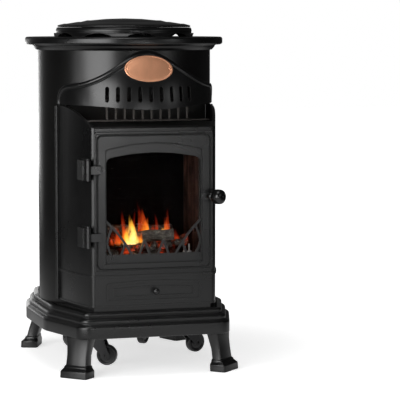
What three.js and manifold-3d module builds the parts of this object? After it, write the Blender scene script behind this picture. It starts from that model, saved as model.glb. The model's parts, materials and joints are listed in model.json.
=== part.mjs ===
// Gas stove heater: a round cabinet heater that holds its gas bottle at the back.
// Millimetres, +Z up, the front faces -Y. The floor is at z = 0.
import * as THREE from 'three';
import { mergeVertices } from 'three/addons/utils/BufferGeometryUtils.js';
import Module from 'manifold-3d';

const wasm = await Module();
wasm.setup();

// Overall heights, and how far the whole is moved back to centre its box over the origin
const CENTRING_SHIFT_Y = 21.7;
const LEG_TOP_Z = 87;
const PLINTH_TOP_Z = 142;
const PANEL_BOTTOM_Z = 153;
const BEAD_Z = 219;
const DOOR_SECTION_TOP_Z = 536;
const HOOD_BACK_Z = 547;
const FASCIA_BOTTOM_Z = 574;
const FASCIA_APEX_Z = 700;
const BADGE_Z = 662;
const RIM_BOTTOM_Z = 712;
const RIM_TOP_Z = 729;

// Round casing
const CASING_R = 194;
const CASING_WALL = 2;
const RIM_R = 222;
const CASING_SEGMENTS = 36;

// Front casting in plan: it leaves the casing at the join, bulges, and ends in a flat front
const JOIN_X = 173.5;
const JOIN_Y = -91;
const SHOULDER_X = 158;
const SHOULDER_Y = -207;
const FRONT_HALF_WIDTH = 135;
const FRONT_Y = -254;
const CASTING_WALL = 6;

// Door
const DOOR_HALF_WIDTH = 124.5;
const DOOR_BOTTOM_Z = 235;
const DOOR_TOP_Z = 521;
const DOOR_CORNER_R = 11;
const DOOR_THICK = 11;
const DOOR_GAP = 1.2;
const REBATE_HALF_WIDTH = 108;
const REBATE_BOTTOM_Z = 246;
const REBATE_SIDE_Z = 493;
const REBATE_TOP_Z = 506;
const REBATE_DEPTH = 4;
const WINDOW_HALF_WIDTH = 105;
const WINDOW_BOTTOM_Z = 265.5;
const WINDOW_SIDE_Z = 462;
const WINDOW_SHOULDER_X = 88;
const WINDOW_SHOULDER_Z = 475;
const WINDOW_TOP_Z = 484;
const HINGE_X = -147;
const HINGE_Y = -263;
const HINGE_PIN_R = 3;
const HINGE_Z = [448, 304];
const LATCH_X = 113;
const LATCH_Z = 388;
const LATCH_TONGUE = 13;
const SPINDLE_R = 4;

// Plinth in plan: the hull of these circles, each with its twin at -x; the last one is the back
const PLINTH_FRONT_Y = -272;
const PLINTH_CORNER_R = 34;
const PLINTH_ROUNDS = [
  { x: 140, y: PLINTH_FRONT_Y + PLINTH_CORNER_R, radius: PLINTH_CORNER_R },
  { x: 113, y: -100, radius: 100 },
  { x: 133, y: 70, radius: 80 },
  { x: 109, y: 166, radius: 84 },
  { x: 0, y: 60, radius: 206 },
];

// Legs: the front pair faces along the corner diagonals, the rear pair nearly sideways
const LEG_FRONT = { x: 162, y: -228, facing: 45, lean: 11 };
const LEG_REAR = { x: 170, y: 208, facing: -22, lean: 20 };
const LEG_WIDTH = 54;
const LEG_DEPTH = 25;
const FOOT_WIDTH = 68;
const FOOT_DEPTH = 40;
const FOOT_HEIGHT = 21;

// Castors
const CASTOR_WHEEL_R = 23;
const CASTOR_WHEEL_WIDTH = 16;
const CASTOR_CLEARANCE = 1;
const CASTOR_TRAIL = 24;
const CASTORS = [
  { side: 'front_left', x: -88, y: -90, trailAngle: -0.55 },
  { side: 'front_right', x: 148, y: 4, trailAngle: 0.35 },
  { side: 'rear_left', x: -70, y: 140, trailAngle: 2.4 },
  { side: 'rear_right', x: 70, y: 140, trailAngle: 0.9 },
];

// Gas bottle bay and firebox
const BOTTLE_BAY_R = 134;
const BOTTLE_BAY_Y = 50;
const DIVIDER_Y = -92;
const FIREBOX_HALF_WIDTH = 116;
const FIREBOX_FLOOR_Z = 236;
const FIREBOX_TOP_Z = 526;
const FIREBOX_BACK_Y = -100;
const FIREBOX_FRONT_Y = -236.8;
const SHEET = 1.5;
const GAP = 0.3;

const heater = new THREE.Group();

const BLACK_CAST = { color: 0x0d0d0e, roughness: 0.5, metalness: 0.3 };
const BLACK_SHEET = { color: 0x101011, roughness: 0.45, metalness: 0.2 };
const DARK_LINER = { color: 0x1c1a18, roughness: 0.85, metalness: 0.1 };
const STEEL = { color: 0x8a8c8f, roughness: 0.35, metalness: 0.9 };
const BRASS = { color: 0xb08a3e, roughness: 0.35, metalness: 0.9 };
const COPPER = { color: 0xb46a46, roughness: 0.4, metalness: 0.85 };
const CERAMIC = { color: 0x3a3029, roughness: 0.95, metalness: 0 };
const GLASS = { color: 0x151515, roughness: 0.05, metalness: 0, transparent: true, opacity: 0.25 };
const BLACK_PLASTIC = { color: 0x141414, roughness: 0.5, metalness: 0 };
const RUBBER = { color: 0x161616, roughness: 0.8, metalness: 0 };

// A closed three.js geometry becomes a solid whose faces point outwards
function solid(geometry) {
  let bare = geometry.index ? geometry.toNonIndexed() : geometry.clone();
  for (const key of Object.keys(bare.attributes)) {
    if (key !== 'position') bare.deleteAttribute(key);
  }
  bare = mergeVertices(bare, 1e-4);
  const position = bare.attributes.position.array;
  const index = Uint32Array.from(bare.index.array);
  const kept = [];
  let volume = 0;
  for (let i = 0; i < index.length; i += 3) {
    const [a, b, c] = [index[i], index[i + 1], index[i + 2]];
    if (a === b || b === c || a === c) continue;
    kept.push(a, b, c);
    const p = (n, k) => position[3 * n + k];
    volume += p(a, 0) * (p(b, 1) * p(c, 2) - p(b, 2) * p(c, 1))
      - p(a, 1) * (p(b, 0) * p(c, 2) - p(b, 2) * p(c, 0))
      + p(a, 2) * (p(b, 0) * p(c, 1) - p(b, 1) * p(c, 0));
  }
  if (volume < 0) {
    for (let i = 0; i < kept.length; i += 3) {
      [kept[i + 1], kept[i + 2]] = [kept[i + 2], kept[i + 1]];
    }
  }
  return new wasm.Manifold(new wasm.Mesh({
    numProp: 3,
    vertProperties: Float32Array.from(position),
    triVerts: Uint32Array.from(kept),
  }));
}

// A finished solid becomes a named mesh in the heater
function piece(name, body, look, parent = heater) {
  const raw = body.getMesh();
  const geometry = new THREE.BufferGeometry();
  geometry.setAttribute('position', new THREE.BufferAttribute(Float32Array.from(raw.vertProperties), 3));
  geometry.setIndex(new THREE.BufferAttribute(Uint32Array.from(raw.triVerts), 1));
  geometry.computeVertexNormals();
  const mesh = new THREE.Mesh(geometry, new THREE.MeshStandardMaterial(look));
  mesh.name = name;
  parent.add(mesh);
  return mesh;
}

// A box by its lowest and highest corners
function box(low, high) {
  const geometry = new THREE.BoxGeometry(high[0] - low[0], high[1] - low[1], high[2] - low[2]);
  geometry.translate((low[0] + high[0]) / 2, (low[1] + high[1]) / 2, (low[2] + high[2]) / 2);
  return solid(geometry);
}

// A profile of [radius, height] points turned about the Z axis through (x, y)
function turned(profile, segments = CASING_SEGMENTS, x = 0, y = 0) {
  const points = profile.map(([r, z]) => new THREE.Vector2(r, z));
  const geometry = new THREE.LatheGeometry(points, segments);
  geometry.rotateX(Math.PI / 2);
  geometry.translate(x, y, 0);
  return solid(geometry);
}

// The same turned profile laid along the Y axis: height runs towards the front (-Y) from yStart
function turnedForward(profile, segments, x, yStart, z) {
  const points = profile.map(([r, h]) => new THREE.Vector2(r, h));
  const geometry = new THREE.LatheGeometry(points, segments);
  geometry.rotateX(Math.PI);
  geometry.translate(x, yStart, z);
  return solid(geometry);
}

// A cylinder between two heights
function rod(radius, x, y, low, high, segments = 8) {
  return turned([[0, low], [radius, low], [radius, high], [0, high]], segments, x, y);
}

// A Shape, or a list of points that becomes one
function asShape(outline) {
  if (outline instanceof THREE.Shape) return outline;
  return new THREE.Shape(outline.map(([u, v]) => new THREE.Vector2(u, v)));
}

function extruded(outline, depth, curveSegments) {
  return new THREE.ExtrudeGeometry(asShape(outline), { depth, bevelEnabled: false, curveSegments });
}

// A plan outline in x and y, raised between two heights
function raised(outline, low, high, curveSegments = 3) {
  const geometry = extruded(outline, high - low, curveSegments);
  geometry.translate(0, 0, low);
  return solid(geometry);
}

// A front-view outline in x and z, carried from yBack forward to yFront
function faced(outline, yFront, yBack, curveSegments = 4) {
  const geometry = extruded(outline, yBack - yFront, curveSegments);
  geometry.rotateX(Math.PI / 2);
  geometry.translate(0, yBack, 0);
  return solid(geometry);
}

// A side-view outline in y and z, carried across from one x to another
function acrossX(outline, from, to, curveSegments = 4) {
  const geometry = extruded(outline, to - from, curveSegments);
  geometry.rotateX(Math.PI / 2);
  geometry.rotateZ(Math.PI / 2);
  geometry.translate(from, 0, 0);
  return solid(geometry);
}

// Cylinders of a given length that lie along X or Y, centred at a point
function rodAlongX(radius, length, x, y, z, segments = 8) {
  const geometry = new THREE.CylinderGeometry(radius, radius, length, segments);
  geometry.rotateZ(Math.PI / 2);
  geometry.translate(x, y, z);
  return solid(geometry);
}
function rodAlongY(radius, length, x, y, z, segments = 8) {
  const geometry = new THREE.CylinderGeometry(radius, radius, length, segments);
  geometry.translate(x, y, z);
  return solid(geometry);
}

// A tube or bar that follows a curve, with a section drawn as a shape
function swept(section, curve, steps) {
  return solid(new THREE.ExtrudeGeometry(section, { extrudePath: curve, steps, bevelEnabled: false }));
}

function roundSection(radius, sides = 8) {
  const shape = new THREE.Shape();
  for (let i = 0; i < sides; i += 1) {
    const angle = (i / sides) * 2 * Math.PI;
    const [x, y] = [radius * Math.cos(angle), radius * Math.sin(angle)];
    if (i === 0) shape.moveTo(x, y);
    else shape.lineTo(x, y);
  }
  shape.closePath();
  return shape;
}

// A rectangle with round corners, centred at (x, y)
function roundedRectangle(x, y, halfWidth, halfHeight, radius) {
  const shape = new THREE.Shape();
  shape.moveTo(x - halfWidth + radius, y - halfHeight);
  shape.absarc(x + halfWidth - radius, y - halfHeight + radius, radius, -Math.PI / 2, 0);
  shape.absarc(x + halfWidth - radius, y + halfHeight - radius, radius, 0, Math.PI / 2);
  shape.absarc(x - halfWidth + radius, y + halfHeight - radius, radius, Math.PI / 2, Math.PI);
  shape.absarc(x - halfWidth + radius, y - halfHeight + radius, radius, Math.PI, Math.PI * 1.5);
  return shape;
}

// A surface given on a grid of (across, up), closed by a second surface behind it
function shell(acrossCount, upCount, outer, inner) {
  const vertices = [];
  const faces = [];
  const row = upCount + 1;
  const side = (acrossCount + 1) * row;
  for (const surface of [outer, inner]) {
    for (let i = 0; i <= acrossCount; i += 1) {
      for (let j = 0; j <= upCount; j += 1) vertices.push(...surface(i / acrossCount, j / upCount));
    }
  }
  const quad = (a, b, c, d) => faces.push(a, b, c, a, c, d);
  for (let i = 0; i < acrossCount; i += 1) {
    for (let j = 0; j < upCount; j += 1) {
      const a = i * row + j;
      quad(a, a + row, a + row + 1, a + 1);
      quad(side + a, side + a + 1, side + a + row + 1, side + a + row);
    }
    const low = i * row;
    const high = low + upCount;
    quad(low, side + low, side + low + row, low + row);
    quad(high, high + row, side + high + row, side + high);
  }
  for (let j = 0; j < upCount; j += 1) {
    const end = acrossCount * row + j;
    quad(j, j + 1, side + j + 1, side + j);
    quad(end, side + end, side + end + 1, end + 1);
  }
  const geometry = new THREE.BufferGeometry();
  geometry.setAttribute('position', new THREE.BufferAttribute(Float32Array.from(vertices), 3));
  geometry.setIndex(faces);
  return solid(geometry);
}

// A closed outline with a normal at each point, carrying a closed profile of [outset, z] around it
function carriedAround(outline, profile) {
  const count = outline.length;
  const vertices = [];
  const faces = [];
  const ring = profile.length;
  for (const { x, y, nx, ny } of outline) {
    for (const [outset, z] of profile) vertices.push(x + nx * outset, y + ny * outset, z);
  }
  for (let i = 0; i < count; i += 1) {
    const next = (i + 1) % count;
    for (let j = 0; j < ring; j += 1) {
      const k = (j + 1) % ring;
      faces.push(i * ring + j, next * ring + j, next * ring + k);
      faces.push(i * ring + j, next * ring + k, i * ring + k);
    }
  }
  const geometry = new THREE.BufferGeometry();
  geometry.setAttribute('position', new THREE.BufferAttribute(Float32Array.from(vertices), 3));
  geometry.setIndex(faces);
  return solid(geometry);
}

// The plinth's plan outline: the hull of its circles, one point a direction
function plinthOutline() {
  const rounds = PLINTH_ROUNDS.concat(PLINTH_ROUNDS.map(({ x, y, radius }) => ({ x: -x, y, radius })));
  const directions = 36;
  return Array.from({ length: directions }, (unused, i) => {
    const angle = (2 * Math.PI * (i + 0.5)) / directions;
    const [nx, ny] = [Math.cos(angle), Math.sin(angle)];
    const reach = (round) => round.x * nx + round.y * ny + round.radius;
    const round = rounds.reduce((best, other) => (reach(other) > reach(best) ? other : best));
    return { x: round.x + round.radius * nx, y: round.y + round.radius * ny, nx, ny };
  });
}

function insetOutline(inset) {
  return plinthOutline().map(({ x, y, nx, ny }) => [x - nx * inset, y - ny * inset]);
}

// Plinth casting: a flat skirt, two stepped mouldings, a deck for the casing and a lip for the base plate
function makePlinth() {
  const deckLow = PLINTH_TOP_Z - 4;
  const profile = [
    [0, LEG_TOP_Z], [0, 113], [-9.5, 118], [-8, 122.5], [-10, 128],
    [-19, 131], [-16.5, 135], [-18, 140.5], [-22, PLINTH_TOP_Z],
    [-34, PLINTH_TOP_Z], [-34, deckLow], [-24, 136], [-8, 110], [-8, 92], [-26, 91], [-26, LEG_TOP_Z],
  ];
  const deck = raised(insetOutline(28), deckLow, PLINTH_TOP_Z)
    .subtract(rod(CASING_R - 10, 0, 0, deckLow - 2, PLINTH_TOP_Z + 2, CASING_SEGMENTS));
  piece('base_plinth', carriedAround(plinthOutline(), profile).add(deck), BLACK_CAST);
}

// Base plate: the pressed floor that carries the castors and the gas bottle
function makeBasePlate() {
  const plateInset = 9;
  const floorLow = LEG_TOP_Z + 6.4;
  const floorHigh = floorLow + 2;
  const ribR = BOTTLE_BAY_R + 2;
  let plate = raised(insetOutline(plateInset), floorLow, floorHigh);
  const bottleRing = turned([[ribR, floorHigh - 1], [ribR, floorHigh + 4], [ribR + 4, floorHigh + 4],
    [ribR + 4, floorHigh - 1], [ribR, floorHigh - 1]], 20, 0, BOTTLE_BAY_Y);
  plate = plate.add(bottleRing);
  for (const { x, y } of CASTORS) plate = plate.subtract(rod(6.5, x, y, floorLow - 2, floorHigh + 2, 8));
  piece('base_plate', plate, BLACK_SHEET);
}

// One leg: a waisted casting that leans out to a flared foot with a toe
function makeLeg(name, signX, place) {
  const footY = place.y;
  const lean = place.lean;
  const turn = THREE.MathUtils.degToRad(place.facing);
  const facing = Math.atan2(-Math.sin(turn), signX * Math.cos(turn));
  const levels = [
    { z: 0, width: FOOT_WIDTH, depth: FOOT_DEPTH, out: 5, round: 6 },
    { z: FOOT_HEIGHT - 6, width: FOOT_WIDTH, depth: FOOT_DEPTH, out: 4, round: 7 },
    { z: FOOT_HEIGHT, width: FOOT_WIDTH - 8, depth: FOOT_DEPTH - 9, out: 1, round: 7 },
    { z: FOOT_HEIGHT + 4, width: LEG_WIDTH + 4, depth: LEG_DEPTH + 5, out: 0, round: 7 },
    { z: FOOT_HEIGHT + 5.5, width: LEG_WIDTH, depth: LEG_DEPTH, out: -0.05 * lean, round: 6 },
    { z: 48, width: LEG_WIDTH - 2, depth: LEG_DEPTH, out: -0.35 * lean, round: 6 },
    { z: 68, width: LEG_WIDTH + 2, depth: LEG_DEPTH + 2, out: -0.75 * lean, round: 6 },
    { z: LEG_TOP_Z - GAP, width: LEG_WIDTH + 8, depth: LEG_DEPTH + 5, out: -lean, round: 6 },
  ];
  const cornerSteps = 2;
  const around = 4 * (cornerSteps + 1);
  const corners = [[1, -1], [1, 1], [-1, 1], [-1, -1]];
  const vertices = [];
  const faces = [];
  for (const { z, width, depth, out, round } of levels) {
    corners.forEach(([alongOut, alongWide], corner) => {
      for (let s = 0; s <= cornerSteps; s += 1) {
        const bend = -Math.PI / 2 + (corner + s / cornerSteps) * (Math.PI / 2);
        const outward = out + alongOut * (depth / 2 - round) + round * Math.cos(bend);
        const sideways = alongWide * (width / 2 - round) + round * Math.sin(bend);
        const x = signX * place.x + outward * Math.cos(facing) - sideways * Math.sin(facing);
        const y = footY + outward * Math.sin(facing) + sideways * Math.cos(facing);
        vertices.push(x, y, z);
      }
    });
  }
  for (let level = 0; level < levels.length - 1; level += 1) {
    for (let i = 0; i < around; i += 1) {
      const a = level * around + i;
      const b = level * around + ((i + 1) % around);
      faces.push(a, b, b + around, a, b + around, a + around);
    }
  }
  const top = (levels.length - 1) * around;
  for (let i = 1; i < around - 1; i += 1) {
    faces.push(0, i + 1, i);
    faces.push(top, top + i, top + i + 1);
  }
  const geometry = new THREE.BufferGeometry();
  geometry.setAttribute('position', new THREE.BufferAttribute(Float32Array.from(vertices), 3));
  geometry.setIndex(faces);
  piece(name, solid(geometry), BLACK_CAST);
}

// One swivel castor: a stem and fork that trail a plain wheel on its axle
function makeCastor({ side, x, y, trailAngle }) {
  const wheelZ = CASTOR_WHEEL_R + CASTOR_CLEARANCE;
  const mountZ = LEG_TOP_Z + 4;
  const crownLow = 56;
  const forkWall = 2.5;
  const forkHalf = CASTOR_WHEEL_WIDTH / 2 + 1.5;
  const axleR = 3;
  const holder = new THREE.Group();
  holder.position.set(x, y, 0);
  holder.rotation.z = trailAngle;
  heater.add(holder);
  const arm = new THREE.Shape();
  arm.moveTo(-16, crownLow + 5);
  arm.lineTo(-16, crownLow - 2);
  arm.lineTo(CASTOR_TRAIL - 9, wheelZ - 3);
  arm.absarc(CASTOR_TRAIL, wheelZ, 9, -2.6, 0.2);
  arm.lineTo(18, crownLow + 5);
  arm.closePath();
  let fork = box([-16, -forkHalf - forkWall, crownLow + 1], [18, forkHalf + forkWall, crownLow + 5]);
  for (const front of [-forkHalf - forkWall, forkHalf]) {
    fork = fork.add(faced(arm, front, front + forkWall, 2));
  }
  fork = fork.add(turned([[0, crownLow + 4], [14, crownLow + 4], [11, crownLow + 12],
    [11, mountZ + 2], [6, mountZ + 2], [6, mountZ + 4], [0, mountZ + 4]], 8));
  fork = fork.subtract(rodAlongY(axleR + 0.3, 60, CASTOR_TRAIL, 0, wheelZ));
  piece(`castor_fork_${side}`, fork, STEEL, holder);
  const tread = CASTOR_WHEEL_R;
  const half = CASTOR_WHEEL_WIDTH / 2;
  const axleHalf = forkHalf + forkWall + 1;
  const oneSide = [[0, axleHalf], [axleR, axleHalf], [axleR, half + 1], [8, half + 1], [11, half - 3],
    [16, half], [tread, half]];
  const otherSide = oneSide.map(([radius, along]) => [radius, -along]);
  const wheel = turnedForward(otherSide.concat(oneSide.reverse()), 10, CASTOR_TRAIL, 0, wheelZ);
  piece(`castor_wheel_${side}`, wheel, RUBBER, holder);
}

// Round casing: rolled sheet with a front cut-out behind the casting and a rear one for the gas bottle
const REAR_OPENING_HALF_ANGLE = 0.8;
const REAR_OPENING_LOW = 152;
const REAR_OPENING_HIGH = 652;
function makeCasing() {
  const top = 708.5;
  const bottom = PLINTH_TOP_Z + GAP;
  const innerR = CASING_R - CASING_WALL;
  let tube = turned([[innerR, bottom], [CASING_R, bottom], [CASING_R, top], [innerR, top], [innerR, bottom]]);
  const frontHalf = 160;
  tube = tube.subtract(box([-frontHalf, -CASING_R - 5, PLINTH_TOP_Z - 1], [frontHalf, -90, 604]));
  const wide = (CASING_R + 5) * Math.tan(REAR_OPENING_HALF_ANGLE);
  const wedge = [[0, 0], [wide, CASING_R + 5], [-wide, CASING_R + 5]];
  tube = tube.subtract(raised(wedge, REAR_OPENING_LOW, REAR_OPENING_HIGH));
  piece('outer_casing', tube, BLACK_SHEET);
}

// An arc of sheet behind the heater, given by its half angle about the rear and its radii
function rearArc(halfAngle, innerR, outerR, low, high, steps = 12) {
  const at = (radius) => (across, up) => {
    const angle = Math.PI / 2 + halfAngle * (2 * across - 1);
    return [radius * Math.cos(angle), radius * Math.sin(angle), low + (high - low) * up];
  };
  return shell(steps, 1, at(outerR), at(innerR));
}

const REAR_COVER_HALF_ANGLE = 0.86;
const REAR_HINGE_R = 203;
const REAR_HINGE_ANGLE = Math.PI / 2 + 0.9;
const REAR_KNUCKLE_R = 5;

// Rear cover: a curved sheet door with rows of vent slots and three hinge knuckles
function makeRearCover() {
  const low = REAR_OPENING_LOW - 8;
  const high = REAR_OPENING_HIGH + 8;
  const innerR = CASING_R + 1.4;
  const outerR = innerR + 1.6;
  let cover = rearArc(REAR_COVER_HALF_ANGLE, innerR, outerR, low, high);
  const slotRows = [216, 240, 572, 596];
  const slotColumns = 3;
  for (const z of slotRows) {
    for (let column = 0; column < slotColumns; column += 1) {
      const angle = Math.PI / 2 + (column - (slotColumns - 1) / 2) * 0.34;
      const cutter = box([outerR - 12, -24, z - 3.5], [outerR + 6, 24, z + 3.5]);
      cover = cover.subtract(cutter.rotate([0, 0, THREE.MathUtils.radToDeg(angle)]));
    }
  }
  const hingeX = REAR_HINGE_R * Math.cos(REAR_HINGE_ANGLE);
  const hingeY = REAR_HINGE_R * Math.sin(REAR_HINGE_ANGLE);
  const hingeDegrees = THREE.MathUtils.radToDeg(REAR_HINGE_ANGLE);
  const knuckleHeights = [200, 600];
  for (const z of knuckleHeights) {
    const leaf = box([innerR + 0.1, -14, z - 14], [outerR + 0.6, -2, z + 14]).rotate([0, 0, hingeDegrees]);
    const knuckle = rod(REAR_KNUCKLE_R, hingeX, hingeY, z - 14, z + 14);
    const leafEnd = box([innerR + 0.4, -8, z - 14], [REAR_HINGE_R, -1, z + 14]).rotate([0, 0, hingeDegrees]);
    cover = cover.add(leaf).add(leafEnd).add(knuckle).subtract(rod(2.8, hingeX, hingeY, z - 20, z + 20, 8));
  }
  cover = cover.subtract(solid(catchHole()));
  piece('rear_cover', cover, BLACK_SHEET);

  knuckleHeights.forEach((z, i) => {
    const lugLow = z - 24;
    let bracket = rod(REAR_KNUCKLE_R, hingeX, hingeY, lugLow, z - 14.5);
    bracket = bracket.add(rod(REAR_KNUCKLE_R, hingeX, hingeY, z + 14.5, z + 24));
    const spine = box([CASING_R + 0.4, 5.5, lugLow], [CASING_R + 3, 17, z + 24]);
    const lowArm = box([CASING_R + 0.4, 0, lugLow], [REAR_HINGE_R, 8, z - 14.5]);
    const highArm = box([CASING_R + 0.4, 0, z + 14.5], [REAR_HINGE_R, 8, z + 24]);
    for (const part of [spine, lowArm, highArm]) bracket = bracket.add(part.rotate([0, 0, hingeDegrees]));
    bracket = bracket.subtract(rod(2.8, hingeX, hingeY, lugLow - 2, z + 26, 8));
    piece(`rear_hinge_bracket_${i === 0 ? 'lower' : 'upper'}`, bracket, BLACK_CAST);
    piece(`rear_hinge_pin_${i === 0 ? 'lower' : 'upper'}`, turned([[0, lugLow - 1.5], [2.5, lugLow - 1.5],
      [2.5, z + 24.5], [4, z + 24.5], [4, z + 27], [0, z + 27]], 8, hingeX, hingeY), STEEL);
  });
}

const CATCH_ANGLE = Math.PI / 2 - 0.73;
const CATCH_Z = 400;
function catchHole() {
  const hole = new THREE.CylinderGeometry(4.3, 4.3, 30, 10);
  hole.rotateZ(Math.PI / 2);
  hole.translate(CASING_R, 0, CATCH_Z);
  hole.rotateZ(CATCH_ANGLE);
  return hole;
}

// Quarter-turn catch of the rear cover: a fluted knob with a tongue behind the casing's edge
function makeRearCatch() {
  const holder = new THREE.Group();
  holder.rotation.z = CATCH_ANGLE + Math.PI / 2;
  heater.add(holder);
  const seat = -(CASING_R + 3.4);
  let knob = turnedForward([[0, -9], [4, -9], [4, 0], [11, 0], [12, 1.5], [12, 6], [9, 9], [0, 9.5]],
    12, 0, seat, CATCH_Z);
  knob = knob.add(box([-5, seat + 7.5, CATCH_Z - 5], [5, seat + 9.5, CATCH_Z + 24]));
  knob = knob.add(box([-2, seat - 13, CATCH_Z - 10], [2, seat - 5, CATCH_Z + 10]));
  piece('rear_catch_knob', knob, BLACK_PLASTIC, holder);
}

const CONTROL_Z = 713;

// Top casting: a flat rim over a cove, open in the middle over the controls
const TOP_HOLE_R = 128;
function makeTopPlate() {
  piece('top_plate', turned([
    [TOP_HOLE_R, 723], [TOP_HOLE_R, RIM_TOP_Z], [RIM_R - 3, RIM_TOP_Z], [RIM_R, RIM_TOP_Z - 3], [RIM_R, 715],
    [RIM_R - 4, RIM_BOTTOM_Z], [206, 711], [203.5, 706], [198, 700], [CASING_R + 0.4, 700],
    [CASING_R + 0.4, 709], [184, 709], [184, CONTROL_Z + 2 + GAP], [171, CONTROL_Z + 2 + GAP], [171, 723],
    [TOP_HOLE_R, 723]]), BLACK_CAST);
}

// Top ring: a bulged collar whose foot is cut into arches round the front and sides for the hot air
const RING_R = 153;
const RING_TOP_Z = 749.7;
const RING_ARCHES = 10;
function makeTopRing() {
  const low = RIM_TOP_Z + GAP;
  const innerR = RING_R - 16;
  let ring = turned([[innerR, low], [RING_R + 5, low], [RING_R + 3, low + 3], [RING_R - 1, low + 8],
    [RING_R, low + 14], [RING_R - 2, RING_TOP_Z], [innerR, RING_TOP_Z], [innerR, low]], 36);
  const arch = new THREE.Shape();
  arch.moveTo(-31, low - 1);
  arch.lineTo(-27, low + 3);
  arch.quadraticCurveTo(0, low + 13, 27, low + 3);
  arch.lineTo(31, low - 1);
  arch.closePath();
  const cutter = faced(arch, -170, -120, 2);
  for (let i = 0; i < RING_ARCHES; i += 1) {
    const angle = (360 * i) / RING_ARCHES;
    if (Math.abs(angle - 180) > 60) ring = ring.subtract(cutter.rotate([0, 0, angle]));
  }
  piece('top_ring', ring, BLACK_CAST);
}

// Lid: a stepped, slightly domed casting hinged at the back over the controls
const LID_R = 150;
const LID_HINGE_Y = 160;
const LID_HINGE_Z = 753.3;
const LID_KNUCKLE_R = 4.5;
const LID_PIN_R = 2;
const LID_LUG_X = 40;
function makeLid() {
  const low = RING_TOP_Z + 0.6;
  let lid = turned([
    [0, 765], [80, 761], [128, 754.4], [131, low], [LID_R - 1, low], [LID_R, 753.6], [147.5, 755],
    [134, 758.4], [131, 757.8], [102, 762.4], [99, 761.6], [82, 765.8], [79, 765.2], [40, 768.8],
    [0, 770]], 32);
  const lugHalf = 13;
  for (const x of [-LID_LUG_X, LID_LUG_X]) {
    lid = lid.add(box([x - lugHalf, 136, low], [x + lugHalf, LID_HINGE_Y, 757]));
    lid = lid.add(rodAlongX(LID_KNUCKLE_R, 2 * lugHalf, x, LID_HINGE_Y, LID_HINGE_Z, 10));
    lid = lid.subtract(rodAlongX(LID_PIN_R + GAP, 2 * lugHalf + 4, x, LID_HINGE_Y, LID_HINGE_Z));
  }
  piece('top_lid', lid, BLACK_CAST);
  const post = new THREE.Shape();
  post.moveTo(LID_HINGE_Y - 1, RIM_TOP_Z + GAP);
  post.lineTo(LID_HINGE_Y + 7, RIM_TOP_Z + GAP);
  post.lineTo(LID_HINGE_Y + LID_KNUCKLE_R, LID_HINGE_Z);
  post.absarc(LID_HINGE_Y, LID_HINGE_Z, LID_KNUCKLE_R, 0, Math.PI);
  post.closePath();
  const outerX = lugHalf + 6.5;
  for (const [side, x] of [['left', -LID_LUG_X], ['right', LID_LUG_X]]) {
    let bracket = acrossX(post, x - outerX, x - lugHalf - 0.5);
    bracket = bracket.add(acrossX(post, x + lugHalf + 0.5, x + outerX));
    bracket = bracket.add(box([x - outerX, LID_HINGE_Y - 1, RIM_TOP_Z + GAP],
      [x + outerX, LID_HINGE_Y + 7, RIM_TOP_Z + 3]));
    bracket = bracket.subtract(rodAlongX(LID_PIN_R + GAP, 60, x, LID_HINGE_Y, LID_HINGE_Z));
    piece(`lid_hinge_bracket_${side}`, bracket, BLACK_CAST);
    piece(`lid_hinge_pin_${side}`, rodAlongX(LID_PIN_R, 2 * outerX + 1, x, LID_HINGE_Y, LID_HINGE_Z), STEEL);
  }
}

// Controls under the lid: a slotted plate, the gas valve with its knob, and the igniter with its button
const KNOB_X = -34;
const KNOB_Y = -30;
const IGNITER_X = 40;
const IGNITER_Y = -30;
const VALVE_PIPE_Z = 688;
function makeControls() {
  const plateLow = CONTROL_Z;
  const plateHigh = CONTROL_Z + 2;
  let plate = turned([[0, plateLow], [176, plateLow], [176, plateHigh], [0, plateHigh]], 24);
  const slotCount = 8;
  const slot = raised(roundedRectangle(0, 101, 5, 18, 4.9), plateLow - 1, plateHigh + 1, 1);
  for (let i = 0; i < slotCount; i += 1) plate = plate.subtract(slot.rotate([0, 0, (360 * i) / slotCount]));
  plate = plate.subtract(rod(6, KNOB_X, KNOB_Y, plateLow - 1, plateHigh + 1, 10));
  plate = plate.subtract(rod(9.4, IGNITER_X, IGNITER_Y, plateLow - 1, plateHigh + 1, 12));
  piece('control_plate', plate, BLACK_SHEET);

  const valveTop = plateLow - GAP;
  let valve = box([KNOB_X - 18, KNOB_Y - 14, 676], [KNOB_X + 18, KNOB_Y + 14, valveTop - 6]);
  valve = valve.add(rod(15, KNOB_X, KNOB_Y, 668, valveTop, 14));
  valve = valve.add(rod(4, KNOB_X, KNOB_Y, valveTop - 1, plateHigh + 5, 16));
  valve = valve.add(rodAlongY(7, 64, KNOB_X, KNOB_Y, VALVE_PIPE_Z, 6));
  piece('gas_valve', valve, BRASS);

  const knobLow = plateHigh + 1;
  const knobHigh = 738;
  let knob = turned([[0, knobLow + 8], [4.2, knobLow + 8], [4.2, knobLow], [19, knobLow], [20, knobLow + 1.5],
    [20, knobLow + 6], [15, knobLow + 9], [14, knobHigh - 5], [0, knobHigh - 5]], 14, KNOB_X, KNOB_Y);
  const grip = roundedRectangle(KNOB_X, KNOB_Y, 4, 18, 3.5);
  knob = knob.add(raised(grip, knobLow + 8.2, knobHigh, 2));
  piece('gas_control_knob', knob, BLACK_PLASTIC);

  let barrel = turned([[0, 672], [9, 672], [9, plateHigh + 0.5], [13, plateHigh + 0.5], [13, plateHigh + 3],
    [11.5, plateHigh + 4], [6.9, plateHigh + 4], [6.9, 690], [0, 690]], 12, IGNITER_X, IGNITER_Y);
  piece('igniter_body', barrel, BLACK_PLASTIC);
  piece('igniter_button', turned([[0, 702], [6.5, 702], [6.5, plateHigh + 8], [5.5, plateHigh + 9],
    [0, plateHigh + 9.4]], 12, IGNITER_X, IGNITER_Y), { color: 0x8c1a14, roughness: 0.4, metalness: 0 });
}

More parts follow.
